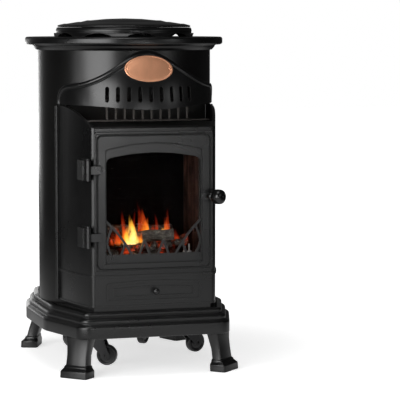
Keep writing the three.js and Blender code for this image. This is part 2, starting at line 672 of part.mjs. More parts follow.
// The front casting's plan line, from 0 at the centre to 1 where it joins the casing
function frontPlan() {
  const half = new THREE.CurvePath();
  const flatEnd = new THREE.Vector2(FRONT_HALF_WIDTH - 7, FRONT_Y);
  const cornerEnd = new THREE.Vector2(FRONT_HALF_WIDTH + 3, FRONT_Y + 6);
  half.add(new THREE.LineCurve(new THREE.Vector2(0, FRONT_Y), flatEnd));
  half.add(new THREE.QuadraticBezierCurve(flatEnd, new THREE.Vector2(FRONT_HALF_WIDTH, FRONT_Y), cornerEnd));
  half.add(new THREE.CubicBezierCurve(cornerEnd, new THREE.Vector2(SHOULDER_X - 8, SHOULDER_Y - 12),
    new THREE.Vector2(SHOULDER_X + 8, SHOULDER_Y + 35), new THREE.Vector2(JOIN_X, JOIN_Y)));
  return half;
}

// Points of the plan line on both sides, left to right, moved inwards by the given depth; a point that
// would fold back past its neighbour is left out
function frontOutline(inset) {
  const curve = frontPlan();
  const right = [];
  const bezierSteps = 6;
  const normalOf = (tangent) => new THREE.Vector2(tangent.y, -tangent.x);
  const [flat, corner, flank] = curve.curves;
  right.push([flat.getPoint(1), normalOf(flat.getTangent(1))]);
  for (let i = 1; i <= 3; i += 1) right.push([corner.getPoint(i / 3), normalOf(corner.getTangent(i / 3))]);
  for (let i = 1; i <= bezierSteps; i += 1) {
    right.push([flank.getPoint(i / bezierSteps), normalOf(flank.getTangent(i / bezierSteps))]);
  }
  const moved = right.map(([point, normal]) => [point.x - normal.x * inset, point.y - normal.y * inset]);
  const kept = [moved[moved.length - 1]];
  for (let i = moved.length - 2; i >= 0; i -= 1) {
    if (moved[i][0] < kept[0][0] - 0.2) kept.unshift(moved[i]);
  }
  const left = kept.map(([x, y]) => [-x, y]).reverse();
  return left.concat(kept);
}

// Wall of the front casting between two heights, from an outer to an inner depth
function frontWall(outerInset, innerInset, low, high) {
  return raised(frontOutline(outerInset).concat(frontOutline(innerInset).reverse()), low, high);
}

// Height of the wing's top edge above a point of the plan line, by its y
function wingTop(y) {
  const reach = (y - FRONT_Y) / (JOIN_Y - FRONT_Y);
  const rise = 580 - DOOR_SECTION_TOP_Z;
  return DOOR_SECTION_TOP_Z + rise * (1 - Math.max(0, 1 - reach) ** 2.6);
}

// Depth of the recess that the door sits in
const POCKET_Y = -246.7;

// Front casting: walls with the bead and embossed panel, the door surround, the wings and the sloping hood
function makeFrontCasting() {
  let casting = frontWall(0, CASTING_WALL, PANEL_BOTTOM_Z, 585);
  const above = [[FRONT_Y - 20, DOOR_SECTION_TOP_Z]];
  const steps = 14;
  for (let i = 0; i <= steps; i += 1) {
    const y = FRONT_Y + ((JOIN_Y + 12 - FRONT_Y) * i) / steps;
    above.push([y, wingTop(y)]);
  }
  above.push([JOIN_Y + 12, 640], [FRONT_Y - 20, 640]);
  casting = casting.subtract(acrossX(above, -250, 250));

  casting = casting.add(frontWall(0, 14, PANEL_BOTTOM_Z, PANEL_BOTTOM_Z + 4));
  casting = casting.add(frontWall(9, 14, PLINTH_TOP_Z + GAP, PANEL_BOTTOM_Z + 1));
  casting = casting.add(frontWall(-2.2, 1, BEAD_Z - 2.5, BEAD_Z + 2));
  casting = casting.add(frontWall(-1, 1, PANEL_BOTTOM_Z, PANEL_BOTTOM_Z + 3));

  const surroundMiddle = (BEAD_Z + DOOR_SECTION_TOP_Z) / 2;
  const surroundHalf = (DOOR_SECTION_TOP_Z - BEAD_Z) / 2 - 3;
  const stopBack = -240;
  const surround = roundedRectangle(0, surroundMiddle, 132, surroundHalf, 4);
  casting = casting.add(faced(surround, FRONT_Y + 1, stopBack));
  const doorMiddle = (DOOR_BOTTOM_Z + DOOR_TOP_Z) / 2;
  const doorHalfHeight = (DOOR_TOP_Z - DOOR_BOTTOM_Z) / 2;
  const aroundDoor = (margin, radius) => roundedRectangle(0, doorMiddle, DOOR_HALF_WIDTH + margin,
    doorHalfHeight + margin, radius);
  const rib = faced(aroundDoor(7, 7), FRONT_Y - 1.8, FRONT_Y + 1);
  casting = casting.add(rib.subtract(faced(aroundDoor(4, 4), FRONT_Y - 3, FRONT_Y + 2)));
  casting = casting.subtract(faced(aroundDoor(DOOR_GAP, DOOR_CORNER_R), -300, POCKET_Y, 3));
  casting = casting.subtract(box([-112, -300, 245], [112, -230, 512]));
  const notchLow = LATCH_Z - LATCH_TONGUE - 7;
  casting = casting.subtract(box([100, -300, notchLow], [122, -230, LATCH_Z + 14]));

  const hoodBackY = -213;
  const hood = [[FRONT_Y + 1, 528], [FRONT_Y + 1, DOOR_SECTION_TOP_Z - 0.2], [hoodBackY, HOOD_BACK_Z],
    [hoodBackY, HOOD_BACK_Z - 6], [-236, 528]];
  const inside = raised(frontOutline(1), 500, 600);
  casting = casting.add(acrossX(hood, -175, 175).intersect(inside));

  const edgeBeadX = JOIN_X + 3.3;
  for (const x of [-edgeBeadX, edgeBeadX]) {
    casting = casting.add(rod(4, x, JOIN_Y - 2, PANEL_BOTTOM_Z, 579, 10));
  }

  const border = (halfWidth, low, high, rise, radius) => {
    const shape = new THREE.Shape();
    shape.moveTo(-halfWidth + radius, low);
    shape.lineTo(halfWidth - radius, low);
    shape.quadraticCurveTo(halfWidth, low, halfWidth, low + radius);
    shape.lineTo(halfWidth, high - radius);
    shape.quadraticCurveTo(halfWidth, high, halfWidth - radius, high);
    shape.quadraticCurveTo(0, high + rise, -halfWidth + radius, high);
    shape.quadraticCurveTo(-halfWidth, high, -halfWidth, high - radius);
    shape.lineTo(-halfWidth, low + radius);
    shape.quadraticCurveTo(-halfWidth, low, -halfWidth + radius, low);
    return shape;
  };
  const outerRib = faced(border(105, 163, 204, 9, 6), FRONT_Y - 1.6, FRONT_Y + 1, 3)
    .subtract(faced(border(101, 167, 200, 9, 4), FRONT_Y - 3, FRONT_Y + 2, 3));
  const innerField = faced(border(90, 173, 193, 7, 4), FRONT_Y - 1.6, FRONT_Y + 1, 3)
    .subtract(faced(border(87, 176, 190, 7, 3), FRONT_Y - 3, FRONT_Y + 2, 3));
  casting = casting.add(outerRib).add(innerField);
  casting = casting.subtract(rod(CASING_R + 1.2, 0, 0, 100, 720, CASING_SEGMENTS));
  piece('lower_front_casting', casting, BLACK_CAST);

  const knob = turnedForward([[0, 0], [4, 0], [3.4, 4], [5.5, 6.5], [7.2, 10.5], [6.6, 14.5], [3.5, 17.2],
    [0, 18]], 12, 2, FRONT_Y - GAP, 185);
  piece('panel_knob', knob, BLACK_CAST);
}

// Upper fascia: heights and radii as functions of the angle from the front, in degrees
const FASCIA_END = 61.5;
const FASCIA_WALL = 4;
const FASCIA_EDGE_R = 199;
const FASCIA_BULGE = 37;
function crestZ(angle) {
  const bell = Math.exp(-((angle / 25) ** 2));
  const past = Math.max(0, Math.abs(angle) - 49) / (FASCIA_END - 49);
  const corner = 626 + (FASCIA_APEX_Z - 626) * bell;
  return corner - 40 * (1 - Math.sqrt(Math.max(0, 1 - past * past)));
}
function fasciaBottomZ(angle) {
  return FASCIA_BOTTOM_Z + 9 * (1 - Math.exp(-((angle / 24) ** 2)));
}
function fasciaRadius(angle, z) {
  const low = fasciaBottomZ(angle);
  const up = Math.min(1, Math.max(0, (z - low) / (crestZ(0) - low)));
  const side = 1 - Math.min(1, Math.abs(angle) / FASCIA_END) ** 2.2;
  return FASCIA_EDGE_R + FASCIA_BULGE * side * (1 - up ** 2.2);
}
function fasciaPoint(angle, z, lift) {
  const radius = fasciaRadius(angle, z) + lift;
  const turn = THREE.MathUtils.degToRad(angle);
  return [radius * Math.sin(turn), -radius * Math.cos(turn), z];
}

function makeFascia() {
  const at = (lift) => (across, up) => {
    const angle = FASCIA_END * (2 * across - 1);
    const low = fasciaBottomZ(angle);
    return fasciaPoint(angle, low + (crestZ(angle) - low) * up, lift);
  };
  let fascia = shell(24, 3, at(0), at(-FASCIA_WALL));
  const slotCount = 9;
  const slotPitch = 5.88;
  for (let i = 0; i < slotCount; i += 1) {
    const angle = (i - (slotCount - 1) / 2) * slotPitch;
    const slot = roundedRectangle(0, 606.5, 4.3, 16.8, 4.25);
    fascia = fascia.subtract(faced(slot, -260, -205, 1).rotate([0, 0, angle]));
  }
  fascia = fascia.add(crestBead(3, 2.8));
  piece('upper_fascia', fascia, BLACK_CAST);

  const plateAt = (lift) => (across, up) => {
    return fasciaPoint(18 * (2 * across - 1), BADGE_Z + 34 * (2 * up - 1), lift);
  };
  const oval = new THREE.Shape();
  oval.absellipse(0, BADGE_Z, 52, 28.2, 0, 2 * Math.PI);
  const badge = shell(6, 4, plateAt(2.6), plateAt(0.5)).intersect(faced(oval, -260, -180, 20));
  piece('badge_plate', badge, COPPER);
}

// Evenly spaced values from one number to another
function range(from, to, count) {
  return Array.from({ length: count + 1 }, (unused, i) => from + ((to - from) * i) / count);
}

// A bead that follows the fascia's crest, at a given inset from its edge
function crestBead(inset, radius) {
  const endAngle = FASCIA_END - 0.3 - inset * 0.28;
  const points = range(-endAngle, endAngle, 40).map((angle) => {
    const scale = FASCIA_END / (FASCIA_END - inset * 0.28);
    const z = Math.max(crestZ(angle * scale) - inset, fasciaBottomZ(angle) + 6);
    return new THREE.Vector3(...fasciaPoint(angle, z, -0.2));
  });
  return swept(roundSection(radius, 4), new THREE.CatmullRomCurve3(points), 30);
}

// Guard behind the heat outlet: ten flat upright bars between two rails
function makeOutletGuard() {
  const [railFront, railBack] = [-203, -198];
  const [railLow, railHigh] = [548, 592];
  let guard = box([-140, railFront, railLow], [140, railBack, railLow + 4]);
  guard = guard.add(box([-94, railFront, railHigh], [94, railBack, railHigh + 4]));
  const barCount = 10;
  const barPitch = 20;
  for (let i = 0; i < barCount; i += 1) {
    const x = (i - (barCount - 1) / 2) * barPitch;
    guard = guard.add(box([x - 2.5, railFront + 1, railLow + 2], [x + 2.5, railBack - 1, railHigh + 2]));
  }
  piece('outlet_guard', guard, DARK_LINER);
}

// Door window outline: straight sides and sill under a low arch with round shoulders
function archedOutline(halfWidth, low, sideZ, shoulderX, shoulderZ, topZ) {
  const shape = new THREE.Shape();
  shape.moveTo(-halfWidth, low);
  shape.lineTo(halfWidth, low);
  shape.lineTo(halfWidth, sideZ);
  shape.quadraticCurveTo(halfWidth, shoulderZ - 2, shoulderX, shoulderZ);
  shape.quadraticCurveTo(0, 2 * topZ - shoulderZ, -shoulderX, shoulderZ);
  shape.quadraticCurveTo(-halfWidth, shoulderZ - 2, -halfWidth, sideZ);
  shape.closePath();
  return shape;
}

// Fretwork across the foot of the window: two long arcs, two diamonds and two pointed tents
function makeFretwork() {
  const barWidth = 4.7;
  const [barFront, barBack] = [-254.6, -250.6];
  const bar = (points) => {
    const curve = points.length === 2
      ? new THREE.LineCurve(...points.map(([x, z]) => new THREE.Vector2(x, z)))
      : new THREE.SplineCurve(points.map(([x, z]) => new THREE.Vector2(x, z)));
    const steps = points.length === 2 ? 1 : 4;
    const sides = { left: [], right: [] };
    for (let i = 0; i <= steps; i += 1) {
      const point = curve.getPoint(i / steps);
      const tangent = curve.getTangent(i / steps);
      sides.left.push([point.x - (tangent.y * barWidth) / 2, point.y + (tangent.x * barWidth) / 2]);
      sides.right.unshift([point.x + (tangent.y * barWidth) / 2, point.y - (tangent.x * barWidth) / 2]);
    }
    return faced(sides.left.concat(sides.right), barFront, barBack);
  };
  const sill = WINDOW_BOTTOM_Z - 2;
  const edge = WINDOW_HALF_WIDTH + 1.5;
  const oneSide = [
    [[-edge, 339], [-91, 323], [-76, 306], [-63, 288], [-48, sill]],
    [[-93, 325], [-104, 291], [-94, sill]],
    [[-63, 291], [-73, sill]],
    [[-21, 295], [-33, sill]],
    [[-21, 295], [-9, sill]],
  ];
  let fretwork = null;
  for (const points of oneSide) {
    for (const sign of [1, -1]) {
      const piecePoints = points.map(([x, z]) => [sign * x, z]);
      fretwork = fretwork ? fretwork.add(bar(piecePoints)) : bar(piecePoints);
    }
  }
  return fretwork;
}

// Door: frame casting with a stepped rebate, fretwork and hinge straps, then its glass, retainer and latch
function makeDoor() {
  const doorFront = FRONT_Y - 4;
  const doorBack = doorFront + DOOR_THICK;
  const middle = (DOOR_BOTTOM_Z + DOOR_TOP_Z) / 2;
  const halfHeight = (DOOR_TOP_Z - DOOR_BOTTOM_Z) / 2;
  const slab = (inset) => roundedRectangle(0, middle, DOOR_HALF_WIDTH - inset, halfHeight - inset,
    DOOR_CORNER_R - inset);
  let frame = faced(slab(0), doorFront + 2, doorBack).add(faced(slab(2), doorFront, doorFront + 3));
  const rebate = archedOutline(REBATE_HALF_WIDTH, REBATE_BOTTOM_Z, REBATE_SIDE_Z - 5, REBATE_HALF_WIDTH - 8,
    REBATE_SIDE_Z, REBATE_TOP_Z);
  frame = frame.subtract(faced(rebate, doorFront - 5, doorFront + REBATE_DEPTH));
  const opening = archedOutline(WINDOW_HALF_WIDTH, WINDOW_BOTTOM_Z, WINDOW_SIDE_Z, WINDOW_SHOULDER_X,
    WINDOW_SHOULDER_Z, WINDOW_TOP_Z);
  frame = frame.subtract(faced(opening, doorFront - 5, doorBack + 5));
  frame = frame.add(makeFretwork());
  for (const z of HINGE_Z) {
    let strap = box([HINGE_X, HINGE_Y - 1.2, z - 8.5], [-DOOR_HALF_WIDTH + 7, doorFront + 1, z + 8.5]);
    strap = strap.add(rod(6, HINGE_X, HINGE_Y, z - 8.5, z + 8.5));
    frame = frame.add(strap).subtract(rod(HINGE_PIN_R + 0.3, HINGE_X, HINGE_Y, z - 12, z + 12, 8));
  }
  frame = frame.subtract(rodAlongY(SPINDLE_R + GAP, 40, LATCH_X, doorFront, LATCH_Z, 10));
  piece('door_frame', frame, BLACK_CAST);

  const glassBack = doorBack + 4.4;
  piece('door_glass', box([-107.5, doorBack + 0.4, 250], [107.5, glassBack, 508]), GLASS);
  const retainer = box([-108, glassBack + 0.3, 249], [108, glassBack + 2.1, 509])
    .subtract(box([-104.2, glassBack - 1, 259], [104.2, glassBack + 4, 499]));
  piece('glass_retainer', retainer, DARK_LINER);

  const tongueBack = -237.2;
  const shaftEnd = doorFront - tongueBack;
  let spindle = turnedForward([[0, shaftEnd], [SPINDLE_R, shaftEnd], [SPINDLE_R, 0.4], [10, 0.4], [10, 4],
    [6, 5.5], [6, 9], [0, 9]], 12, LATCH_X, doorFront, LATCH_Z);
  spindle = spindle.add(box([LATCH_X - SPINDLE_R, tongueBack - 2.4, LATCH_Z - LATCH_TONGUE],
    [LATCH_X + SPINDLE_R, tongueBack, LATCH_Z]));
  piece('latch_spindle', spindle, STEEL);
  const outward = Math.atan2(26, 38);
  const gripProfile = [[0, 0], [5, 0], [5, 11], [8.5, 12], [9, 15], [7, 17.5], [10, 20], [14.4, 23],
    [16, 27.5], [16, 38], [14.2, 42.5], [9.5, 45.5], [0, 46.5]];
  const grip = new THREE.LatheGeometry(gripProfile.map(([r, h]) => new THREE.Vector2(r, h)), 12);
  grip.rotateX(Math.PI);
  grip.rotateZ(outward);
  grip.translate(LATCH_X + 1.5, doorFront - 7.6, LATCH_Z);
  const noseRoom = rodAlongY(9.4, 12.4, LATCH_X, doorFront - 3.2, LATCH_Z, 10);
  piece('latch_knob', solid(grip).subtract(noseRoom), BLACK_PLASTIC);
}

// Fixed half of each door hinge: two knuckles on a spine that stands on the wing
function makeDoorHinges() {
  HINGE_Z.forEach((z, i) => {
    const level = i === 0 ? 'upper' : 'lower';
    const reach = 21;
    const spineOutline = [[HINGE_X - 10, -256], [HINGE_X + 3, -256], [HINGE_X + 3, -249], [HINGE_X + 7, -238],
      [HINGE_X - 2, -222], [HINGE_X - 10, -214], [HINGE_X - 14, -222]];
    let bracket = raised(spineOutline, z - reach, z + reach);
    bracket = bracket.subtract(raised(frontOutline(-0.35), z - reach - 1, z + reach + 1));
    for (const [low, high] of [[z + 8.9, z + reach], [z - reach, z - 8.9]]) {
      bracket = bracket.add(box([HINGE_X - 6, HINGE_Y, low], [HINGE_X + 3, -250, high]));
      bracket = bracket.add(rod(6, HINGE_X, HINGE_Y, low, high));
      bracket = bracket.subtract(rod(HINGE_PIN_R + 0.3, HINGE_X, HINGE_Y, low - 1, high + 1, 8));
    }
    piece(`door_hinge_bracket_${level}`, bracket, BLACK_CAST);
    const pinLow = z - reach - 2;
    const headLow = z + reach + 0.4;
    const pin = turned([[0, pinLow], [HINGE_PIN_R, pinLow], [HINGE_PIN_R, headLow], [5, headLow],
      [4, headLow + 3.6], [0, headLow + 4.6]], 8, HINGE_X, HINGE_Y);
    piece(`door_hinge_pin_${level}`, pin, STEEL);
  });
}

// Firebox: an open-fronted sheet liner with a slot in its roof and a hole in its floor for the burner
const BURNER_X = -34;
const BURNER_Y = -165;
function makeFirebox() {
  const half = FIREBOX_HALF_WIDTH + SHEET;
  let liner = box([-half, FIREBOX_FRONT_Y, FIREBOX_FLOOR_Z - SHEET],
    [half, FIREBOX_BACK_Y, FIREBOX_TOP_Z + SHEET]);
  liner = liner.subtract(box([-FIREBOX_HALF_WIDTH, FIREBOX_FRONT_Y - 5, FIREBOX_FLOOR_Z],
    [FIREBOX_HALF_WIDTH, FIREBOX_BACK_Y - SHEET, FIREBOX_TOP_Z]));
  liner = liner.subtract(box([-90, -190, FIREBOX_TOP_Z - 2], [90, -130, FIREBOX_TOP_Z + 5]));
  liner = liner.subtract(rod(6.5, BURNER_X, BURNER_Y, FIREBOX_FLOOR_Z - 5, FIREBOX_FLOOR_Z + 5, 10));
  piece('firebox_liner', liner, DARK_LINER);

  const low = FIREBOX_FLOOR_Z + GAP;
  const high = 515;
  const flutes = 11;
  const flutePitch = 11;
  const stepsPerFlute = 4;
  const panelBack = -112;
  const panelFront = FIREBOX_FRONT_Y + 0.8;
  for (const [side, sign] of [['left', -1], ['right', 1]]) {
    const wallX = FIREBOX_HALF_WIDTH - GAP;
    const outline = [[sign * wallX, panelFront], [sign * wallX, panelBack]];
    for (let i = 0; i <= flutes * stepsPerFlute; i += 1) {
      const depth = 7 + 2.6 * Math.abs(Math.sin((i * Math.PI) / stepsPerFlute));
      outline.push([sign * (wallX - depth), panelBack - (i * flutePitch) / stepsPerFlute]);
    }
    piece(`firebox_side_panel_${side}`, raised(outline, low, high), CERAMIC);
  }
  let back = box([-107, -111, low], [107, FIREBOX_BACK_Y - SHEET - GAP, high]);
  for (let row = 1; row < 6; row += 1) {
    back = back.subtract(box([-110, -113, low + row * 46 - 1.2], [110, -109.5, low + row * 46 + 1.2]));
  }
  piece('firebox_back_panel', back, CERAMIC);
}

// Burner tray, burner with its injector stem, pilot, and the ceramic fuel bed with two logs
function makeFire() {
  const trayLow = FIREBOX_FLOOR_Z + GAP;
  const trayHigh = 256;
  let tray = box([-98, -232, trayLow], [98, -118, trayHigh]);
  tray = tray.subtract(box([-96, -230, trayLow + 2], [96, -120, trayHigh + 5]));
  tray = tray.subtract(rod(6.5, BURNER_X, BURNER_Y, trayLow - 2, trayLow + 5, 10));
  piece('burner_tray', tray, BLACK_SHEET);

  const burnerLow = trayLow + 2 + GAP;
  let burner = raised(roundedRectangle(-4, BURNER_Y - 5, 86, 42, 12), burnerLow, burnerLow + 9, 3);
  burner = burner.add(rod(5.6, BURNER_X, BURNER_Y, 226, burnerLow + 2, 12));
  piece('burner', burner, STEEL);

  let pilot = box([72, -229, burnerLow + 9.4], [92, -226.5, 266]);
  pilot = pilot.add(rod(3, 77, -223.8, burnerLow + 9.4, 276)).add(rod(2, 87, -224.6, burnerLow + 9.4, 281));
  piece('pilot_assembly', pilot, STEEL);

  const bedLow = burnerLow + 9 + GAP;
  const ripple = (x, y) => Math.sin(x / 15 + 0.6 * Math.sin(y / 19)) * Math.sin(y / 17 + 1 + x / 60);
  const bedAt = (lift) => (across, up) => {
    const x = -90 + 158 * across;
    const y = -221 + 100 * up;
    const rise = 6 + 14 * up + 11.7 * Math.abs(ripple(x, y));
    return [x, y, bedLow + (lift ? rise : 0)];
  };
  piece('ember_bed', shell(12, 6, bedAt(true), bedAt(false)), CERAMIC);

  const logs = [
    { name: 'ceramic_log_rear', x: -4, y: -140, z: 304, length: 150, radius: 15, turn: 3, tilt: 3 },
    { name: 'ceramic_log_front', x: 8, y: -192, z: 297, length: 104, radius: 13, turn: -14, tilt: -4 },
  ];
  for (const { name, x, y, z, length, radius, turn, tilt } of logs) {
    const log = new THREE.CylinderGeometry(radius * 0.86, radius, length, 10, 6);
    const points = log.attributes.position;
    for (let i = 0; i < points.count; i += 1) {
      const [px, py, pz] = [points.getX(i), points.getY(i), points.getZ(i)];
      const swell = 1 + 0.1 * Math.sin(py / 11 + pz / 9) + 0.07 * Math.cos(px / 6 + py / 17);
      points.setXYZ(i, px * swell, py, pz * swell);
    }
    log.rotateZ(Math.PI / 2);
    log.rotateY(THREE.MathUtils.degToRad(tilt));
    log.rotateZ(THREE.MathUtils.degToRad(turn));
    log.translate(x, y, z);
    piece(name, solid(log), CERAMIC);
  }
}

// Divider between the firebox and the gas bottle, and the gas pipes on both sides of the valve
function makeGasWay() {
  const pipeY = -84;
  const crossingZ = 217;
  const divider = box([-166, DIVIDER_Y, PLINTH_TOP_Z + GAP], [166, DIVIDER_Y + SHEET, 620])
    .subtract(rodAlongY(6, 20, KNOB_X, DIVIDER_Y, crossingZ, 10));
  piece('divider_plate', divider, BLACK_SHEET);
  const stops = [
    [KNOB_X, KNOB_Y - 32.4, VALVE_PIPE_Z], [KNOB_X, pipeY + 12, VALVE_PIPE_Z],
    [KNOB_X, pipeY, VALVE_PIPE_Z - 14], [KNOB_X, pipeY, crossingZ + 14],
    [KNOB_X, pipeY - 6, crossingZ + 2], [KNOB_X, pipeY - 16, crossingZ], [BURNER_X, BURNER_Y + 9, crossingZ],
    [BURNER_X, BURNER_Y, crossingZ + 3], [BURNER_X, BURNER_Y, 225.6],
  ].map((stop) => new THREE.Vector3(...stop));
  const curve = new THREE.CatmullRomCurve3(stops, false, 'catmullrom', 0.12);
  piece('burner_gas_pipe', swept(roundSection(3.2, 6), curve, 20), BRASS);

  const inlet = new THREE.CatmullRomCurve3([
    [KNOB_X, KNOB_Y + 32.4, VALVE_PIPE_Z], [KNOB_X, 70, VALVE_PIPE_Z], [KNOB_X, 96, VALVE_PIPE_Z - 4],
    [KNOB_X, 106, 672], [KNOB_X, 106, 655],
  ].map((stop) => new THREE.Vector3(...stop)), false, 'catmullrom', 0.3);
  let nozzle = turned([[0, 632], [4.6, 632], [6, 637], [4.8, 638], [6.2, 643], [5, 644], [6, 649],
    [10, 649.5], [10, 659], [0, 660]], 10, KNOB_X, 106);
  nozzle = nozzle.add(swept(roundSection(4, 6), inlet, 9));
  piece('gas_inlet_pipe', nozzle, BRASS);
}

makePlinth();
makeBasePlate();
for (const [name, signX, place] of [['front_left', -1, LEG_FRONT], ['front_right', 1, LEG_FRONT],
  ['rear_left', -1, LEG_REAR], ['rear_right', 1, LEG_REAR]]) makeLeg(`leg_${name}`, signX, place);
CASTORS.forEach(makeCastor);
makeCasing();
makeRearCover();
makeRearCatch();
makeTopPlate();
makeTopRing();
makeLid();
makeControls();
makeFrontCasting();
makeFascia();
makeOutletGuard();
makeDoor();
makeDoorHinges();
makeFirebox();
makeFire();
makeGasWay();

// The whole is moved back so that its box is centred over the origin
heater.position.y = CENTRING_SHIFT_Y;
export default heater;
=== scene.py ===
import json
import math

import bmesh
import bpy
import numpy as np
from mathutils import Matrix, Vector

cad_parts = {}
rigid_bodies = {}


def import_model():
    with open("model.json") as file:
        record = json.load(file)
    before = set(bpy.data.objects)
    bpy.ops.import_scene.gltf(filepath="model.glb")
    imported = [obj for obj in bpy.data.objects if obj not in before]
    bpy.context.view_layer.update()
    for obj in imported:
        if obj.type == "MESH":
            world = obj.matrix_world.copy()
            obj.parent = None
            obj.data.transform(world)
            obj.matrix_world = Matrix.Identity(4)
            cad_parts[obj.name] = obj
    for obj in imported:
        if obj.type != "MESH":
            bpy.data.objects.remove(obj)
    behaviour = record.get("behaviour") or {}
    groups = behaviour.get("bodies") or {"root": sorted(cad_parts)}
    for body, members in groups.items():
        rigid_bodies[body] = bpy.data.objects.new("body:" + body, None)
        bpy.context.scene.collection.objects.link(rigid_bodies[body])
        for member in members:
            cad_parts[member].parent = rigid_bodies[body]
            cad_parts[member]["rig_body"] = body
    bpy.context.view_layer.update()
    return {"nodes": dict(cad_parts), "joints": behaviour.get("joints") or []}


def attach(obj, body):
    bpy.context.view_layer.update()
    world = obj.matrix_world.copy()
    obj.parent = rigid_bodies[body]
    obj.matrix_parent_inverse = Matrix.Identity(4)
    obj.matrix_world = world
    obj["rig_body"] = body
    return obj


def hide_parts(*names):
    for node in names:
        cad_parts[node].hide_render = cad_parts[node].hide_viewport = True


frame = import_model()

bl_info = {
    "name": "Gas Stove Heater",
    "version": (1, 0, 0),
    "blender": (4, 5, 0),
    "location": "3D View > Sidebar > Stove Heater",
    "description": "Dresses a cast-iron gas stove heater: black stove paint, fire, copper badge and studio",
    "category": "Object",
}

MM = 0.001

# Sizes in millimetres from the drum's upright axis and the floor; the axis stands AXIS_Y behind the origin
AXIS_Y = 21.7

# Drum, whose rear opening has its half angle in degrees, and rear cover, whose half angle is in radians
DRUM_R = 194.0
DRUM_WALL = 2.0
DRUM_Z = (142.3, 708.5)
FRONT_CUT_HALF = 160.0
FRONT_CUT_TOP_Z = 604.0
REAR_CUT_HALF_ANGLE = 45.84
REAR_CUT_Z = (152.0, 652.0)
REAR_COVER_HALF_ANGLE = 0.86
REAR_COVER_FACETS = 12
REAR_COVER_R = (194.5, 198.5)

# Top plate, ring and lid
RIM_TOP_Z = 729.0
RING_Z = (729.3, 749.7)
RING_MEAN_R = 150.0
ARCH_PITCH = math.radians(36)
ARCH_HALF = 27.0
ARCH_SIDE = 4.0
ARCH_FOOT = 3.0
ARCH_RISE = 5.0
LID_LOW_Z = 750.3
LID_HINGE_Y = 160.0
LID_HINGE_Z = 753.3
LID_KNUCKLE_R = 4.5
LID_LUG_X = 40.0
LID_LUG_HALF = 13.0

# Plinth: the circles (x on both sides, y, radius) that its plan is drawn round, and its deck
PLINTH_ROUNDS = ((140, -238, 34), (113, -100, 100), (133, 70, 80), (109, 166, 84), (0, 60, 205.2))
DECK_HOLE_R = 184.0
DECK_INSET = 28.0
DECK_Z = (138.0, 142.0)

# Upper fascia, with angles in degrees from the front
FASCIA_END = 61.5
FASCIA_EDGE_R = 199.0
FASCIA_BULGE = 37.0
FASCIA_POWER = 2.2
FASCIA_WALL = 4.0
FASCIA_LOW_Z = 574.0
FASCIA_SAG = 9.0
FASCIA_SAG_ANGLE = 24.0
CREST_SIDE_Z = 626.0
CREST_TOP_Z = 700.0
CREST_BELL = 25.0
CREST_TURN = 49.0
CREST_DROP = 40.0
BEAD_HALF = 4.4
BEAD_RISE = 2.6
GROOVE_DEPTH = 1.6
SLOT_PITCH = 5.88
SLOTS_EACH_SIDE = 4
SLOT_Z = 606.5
SLOT_HALF_HEIGHT = 16.8
SLOT_HALF_WIDTH = 4.3
SLOT_LINE_R = 233.5
CREST_LINE_R = 0.93 * SLOT_LINE_R

# Badge, door, latch and lower panel
BADGE_Z = 662.0
BADGE_R = 213.0
BADGE_HALF = (52.0, 28.2)
BADGE_PIN_X = 45.5
BADGE_PIN_R = 2.4
FRONT_Y = -254.0
DOOR_FRONT_Y = -258.0
LATCH_X = 113.0
LATCH_Z = 388.0
PANEL_KNOB_X = 2.0
PANEL_KNOB_Z = 185.0

# Ends of the names of the legs, castors and their joints
CORNERS = ("front_left", "front_right", "rear_left", "rear_right")

# Fuel bed: middle and half-sizes of the oval that the loose lumps lie in
BED_MIDDLE = (4.0, -170.0, 272.0)
BED_HALF = (96.0, 38.0, 12.0)
SPIRAL_STEP = math.radians(137.508)

# Studio, in metres, and the camera's lens in millimetres
FLOOR_HALF = 12.0
CAMERA_PLACE = (-1.0980, -4.2577, 0.7600)
CAMERA_AIM = (0.1663, -0.0210, 0.3585)
CAMERA_LENS = 175.6

# Every finish by name, which make_looks fills
LOOKS = {}


class StovePaint(bpy.types.PropertyGroup):
    """Colours and finish of the black stove paint and the badge"""
    iron_colour: bpy.props.FloatVectorProperty(
        name="Cast iron paint", description="Colour of the satin paint on the castings",
        subtype="COLOR", size=3, min=0, max=1, default=(0.0032, 0.0032, 0.0033))
    sheet_colour: bpy.props.FloatVectorProperty(
        name="Sheet paint", description="Colour of the enamel on the drum and other sheet pieces",
        subtype="COLOR", size=3, min=0, max=1, default=(0.0032, 0.0031, 0.003))
    iron_roughness: bpy.props.FloatProperty(
        name="Iron roughness", description="Roughness of the painted castings",
        subtype="FACTOR", min=0, max=1, default=0.3)
    grain_size: bpy.props.FloatProperty(
        name="Casting grain", description="Size of the fine grain that the sand mould leaves",
        subtype="DISTANCE", unit="LENGTH", min=0.0002, max=0.01, default=0.0016)
    badge_colour: bpy.props.FloatVectorProperty(
        name="Badge copper", description="Colour of the bare badge plate",
        subtype="COLOR", size=3, min=0, max=1, default=(0.88, 0.42, 0.24))


class StoveFire(bpy.types.PropertyGroup):
    """Size and glow of the flames and the fuel bed"""
    flame_height: bpy.props.FloatProperty(
        name="Flame height", description="Height of a full flame above its foot",
        subtype="DISTANCE", unit="LENGTH", min=0.01, max=0.16, default=0.1)
    flame_strength: bpy.props.FloatProperty(
        name="Flame strength", description="How brightly the flames shine",
        min=0, max=20, default=1.5)
    ember_strength: bpy.props.FloatProperty(
        name="Ember glow", description="How brightly the cracks in the fuel bed glow",
        min=0, max=20, default=0.7)
    coal_count: bpy.props.IntProperty(
        name="Coals", description="Number of loose lumps on the fuel bed", min=10, max=120, default=46)


